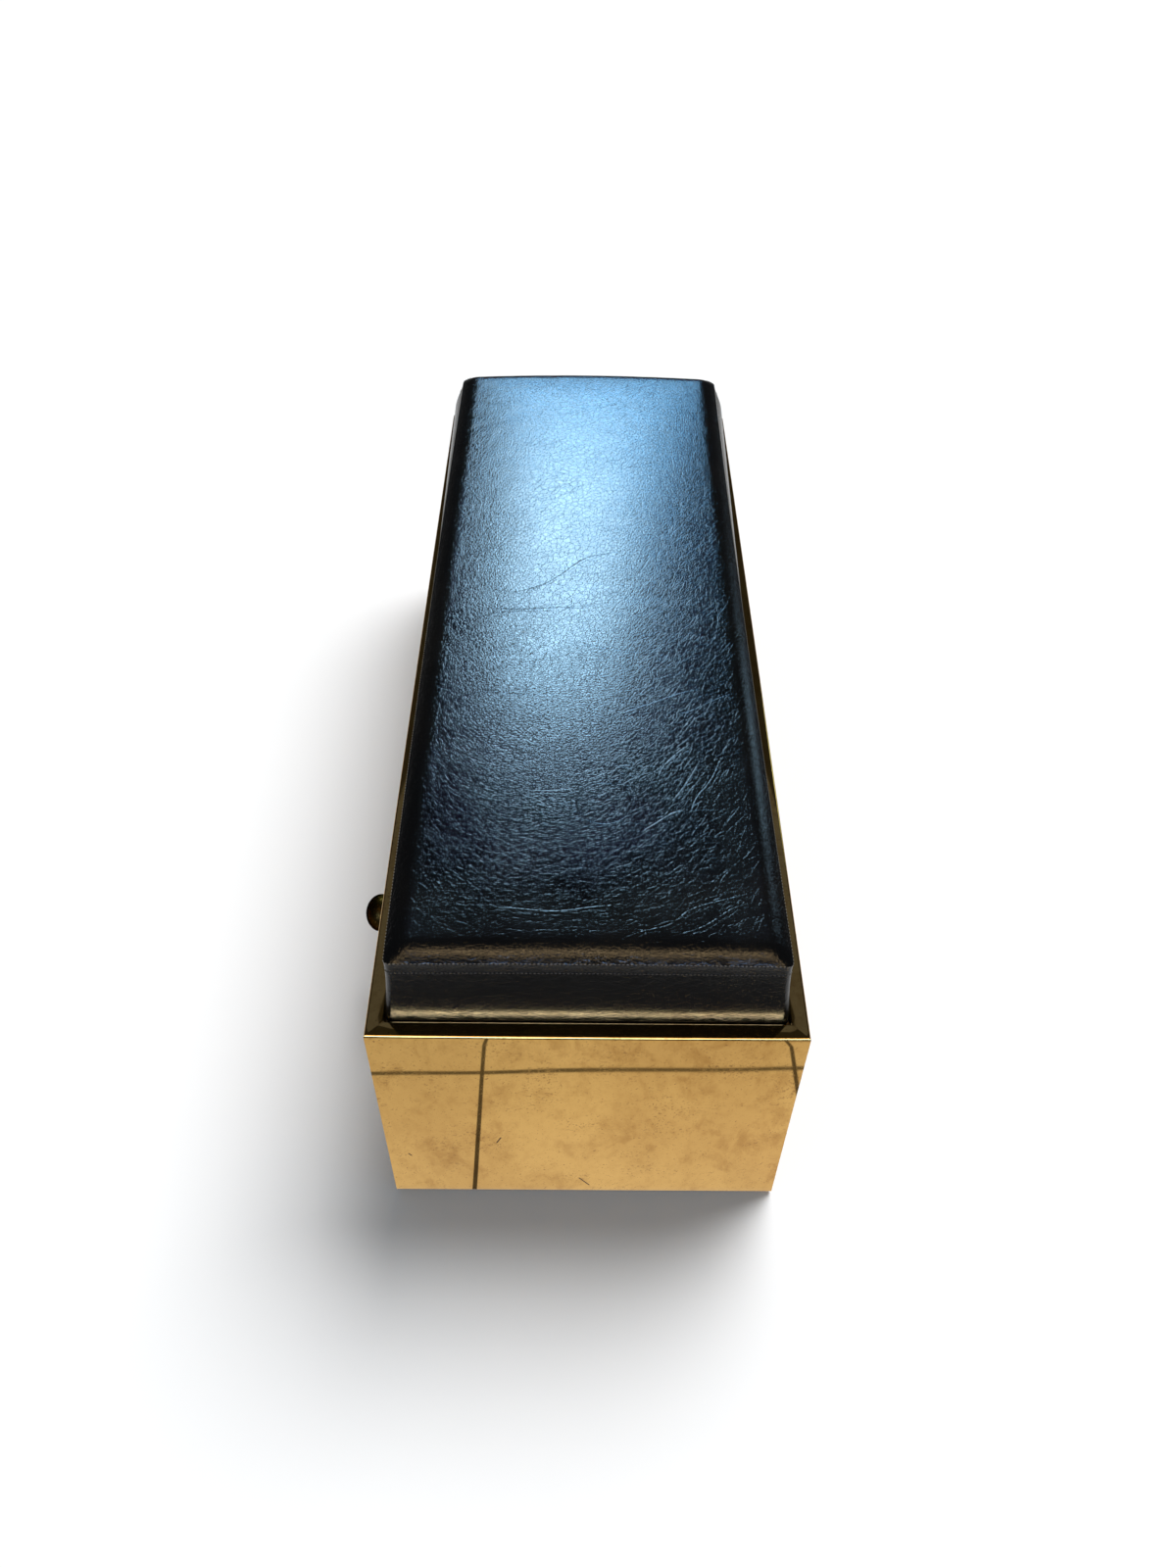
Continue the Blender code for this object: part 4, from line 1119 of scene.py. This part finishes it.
def crease_line(pixels):
    """A smooth line through points of the photo, on the seat."""
    knots = [seen_at(pixel, TOP_HIGH.z).to_2d() for pixel in pixels]
    knots = [2 * knots[0] - knots[1], *knots, 2 * knots[-1] - knots[-2]]
    line = []
    for before, first, second, after in zip(knots, knots[1:], knots[2:], knots[3:]):
        for step in range(CREASE_STEPS):
            t = step / CREASE_STEPS
            bend = (2 * before - 5 * first + 4 * second - after) * t * t
            twist = (3 * first - before - 3 * second + after) * t ** 3
            line.append((2 * first + (second - before) * t + bend + twist) / 2)
    return np.array([*line, knots[-2]])


def ring_line():
    centre, edge = (seen_at(pixel, TOP_HIGH.z).to_2d() for pixel in RING_MARK)
    radius = (edge - centre).length
    turns = np.linspace(0, math.tau, RING_STEPS + 1)
    return np.stack((centre.x + radius * np.cos(turns), centre.y + radius * np.sin(turns)), axis=1)


def mark_creases(mesh):
    """Stores each point's signed distance to the nearest crease, how strongly it shows, and the scuffs."""
    places = places_of(mesh)
    flat = places[:, :2]
    on_top = places[:, 2] > SEAM
    signed = np.full(len(flat), CREASE_REACH)
    shown = np.zeros(len(flat))
    for line in [crease_line(pixels) for pixels in LONG_CREASES] + [ring_line()]:
        closed = np.allclose(line[0], line[-1])
        for number, (start, end) in enumerate(zip(line, line[1:])):
            run = end - start
            offset = flat - start
            share = np.clip(offset @ run / (run @ run), 0, 1)
            gap = offset - share[:, None] * run
            distance = np.linalg.norm(gap, axis=1)
            nearer = on_top & (distance < np.abs(signed))
            side = np.sign(run[0] * offset[:, 1] - run[1] * offset[:, 0])
            signed[nearer] = (distance * side)[nearer]
            along = (number + share) / (len(line) - 1)
            ends = CREASE_TAPER * np.minimum(along, 1 - along)
            taper = RING_STRENGTH if closed else np.minimum(1, ends)
            reach = np.clip(2 - 2 * distance / CREASE_REACH, 0, 1)
            shown[nearer] = (taper * reach)[nearer]
    scuff = np.zeros(len(flat))
    for pixel in SCUFFS:
        away = np.linalg.norm(flat - seen_at(pixel, TOP_HIGH.z).to_2d(), axis=1)
        scuff = np.maximum(scuff, np.exp(-(away / SCUFF_SIZE) ** 2) * on_top)
    store = mesh.attributes.new(CREASE_ATTRIBUTE, "FLOAT_VECTOR", "POINT")
    store.data.foreach_set("vector", np.stack((signed, shown, scuff), axis=1).ravel())


def sewn_line(ring):
    """Points round the cushion on one ring of its boxing."""
    around = []
    for side in range(4):
        for step in range(SEWN_STEPS):
            run = 2 * step / SEWN_STEPS - 1
            u, v = ((run, -1), (1, run), (-run, 1), (-1, -run))[side]
            x, y = plan_point(u, v, RING_DEPTHS[ring])
            around.append(Vector((SEAT_MIDDLE.x + x, SEAT_MIDDLE.y + y, SEAM - RING_DEPTHS[ring])))
    return [*around, around[0]]


def stitch_places(line, skin):
    """Where each thread lies along a line, on the leather."""
    travelled = 0.0
    due = STITCH_PITCH / 2
    size = Matrix.Diagonal((STITCH_LENGTH / 2, THREAD_RADIUS, THREAD_RADIUS, 1))
    places = []
    for start, end in zip(line, line[1:]):
        run = end - start
        while due < travelled + run.length:
            point = start + run * ((due - travelled) / run.length)
            place, normal, _, _ = skin.find_nearest(point)
            along = (run - normal * run.dot(normal)).normalized()
            turn = Matrix((along, normal.cross(along), normal)).transposed().to_4x4()
            places.append(Matrix.Translation(place + normal * THREAD_LIFT) @ turn @ size)
            due += STITCH_PITCH
        travelled += run.length
    return places


def stitch_row(places):
    """Short round-ended threads, made a few at a time."""
    row = bmesh.new()
    for first in range(0, len(places), STITCH_GROUP):
        few = bmesh.new()
        for place in places[first:first + STITCH_GROUP]:
            bmesh.ops.create_uvsphere(few, u_segments=6, v_segments=4, radius=1.0, matrix=place)
        mesh = bpy.data.meshes.new("few_stitches")
        few.to_mesh(mesh)
        few.free()
        row.from_mesh(mesh)
        bpy.data.meshes.remove(mesh)
    return row


def topstitching(cushion):
    graph = bpy.context.evaluated_depsgraph_get()
    skin = BVHTree.FromObject(cushion, graph)
    for name, ring in (("seam_stitches", 0), ("boxing_stitches", STITCH_RING)):
        add_piece(name, stitch_row(stitch_places(sewn_line(ring), skin)), THREAD, "cushion")


def leather_cushion():
    form, sewn = cushion_grid()
    cushion = add_piece("leather_cushion", form, HIDE, "cushion")
    settle(cushion, sewn)
    refine(cushion)
    mark_creases(cushion.data)
    panels = ("top_panel", "bottom_panel", "boxing_left", "boxing_right", "boxing_front", "boxing_rear")
    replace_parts(cushion, *(f"cushion_{panel}" for panel in (*panels, "foam")))
    topstitching(cushion)


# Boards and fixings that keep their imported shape

PLYWOOD_BOARDS = {
    (Y_AXIS, X_AXIS): ("front_end_panel", "rear_end_panel", "centre_divider"),
    (X_AXIS, Y_AXIS): ("right_side_panel", "left_bottom_rail", "left_top_rail", "left_front_stile",
                       "left_rear_panel", "drawer_front"),
    (Z_AXIS, Y_AXIS): ("floor_panel", "seat_deck", "drawer_bottom"),
}
HARDWOOD_STRIPS = {
    X_AXIS: ("deck_cleat_front", "deck_cleat_rear", "drawer_runner_front", "drawer_runner_rear",
             "drawer_kicker_front", "drawer_kicker_rear", "drawer_side_front", "drawer_side_rear"),
    Y_AXIS: ("deck_cleat_left", "deck_cleat_right", "drawer_stop_bar", "drawer_close_stop", "drawer_back"),
    Z_AXIS: ("corner_block_front_left", "corner_block_front_right", "corner_block_rear_left",
             "corner_block_rear_right"),
}
GLIDES = [f"glide_{place}_{side}" for place in ("front", "middle", "rear") for side in ("left", "right")]


def dress(names, finish):
    for name in names:
        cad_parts[name].material_slots[0].material = finish


def boards_and_fixings():
    for (thickness, grain), names in PLYWOOD_BOARDS.items():
        dress(names, plywood_finish(thickness, grain))
    for grain, names in HARDWOOD_STRIPS.items():
        dress(names, hardwood_finish(grain))
    dress(GLIDES, NYLON)
    dress([f"deck_screw_{number}" for number in range(1, 7)] + ["knob_bolt"], ZINC)


def main():
    bpy.context.scene.view_settings.view_transform = "Standard"
    photo_camera()
    floor()
    lights()
    brass_skin()
    knob()
    leather_cushion()
    boards_and_fixings()


main()
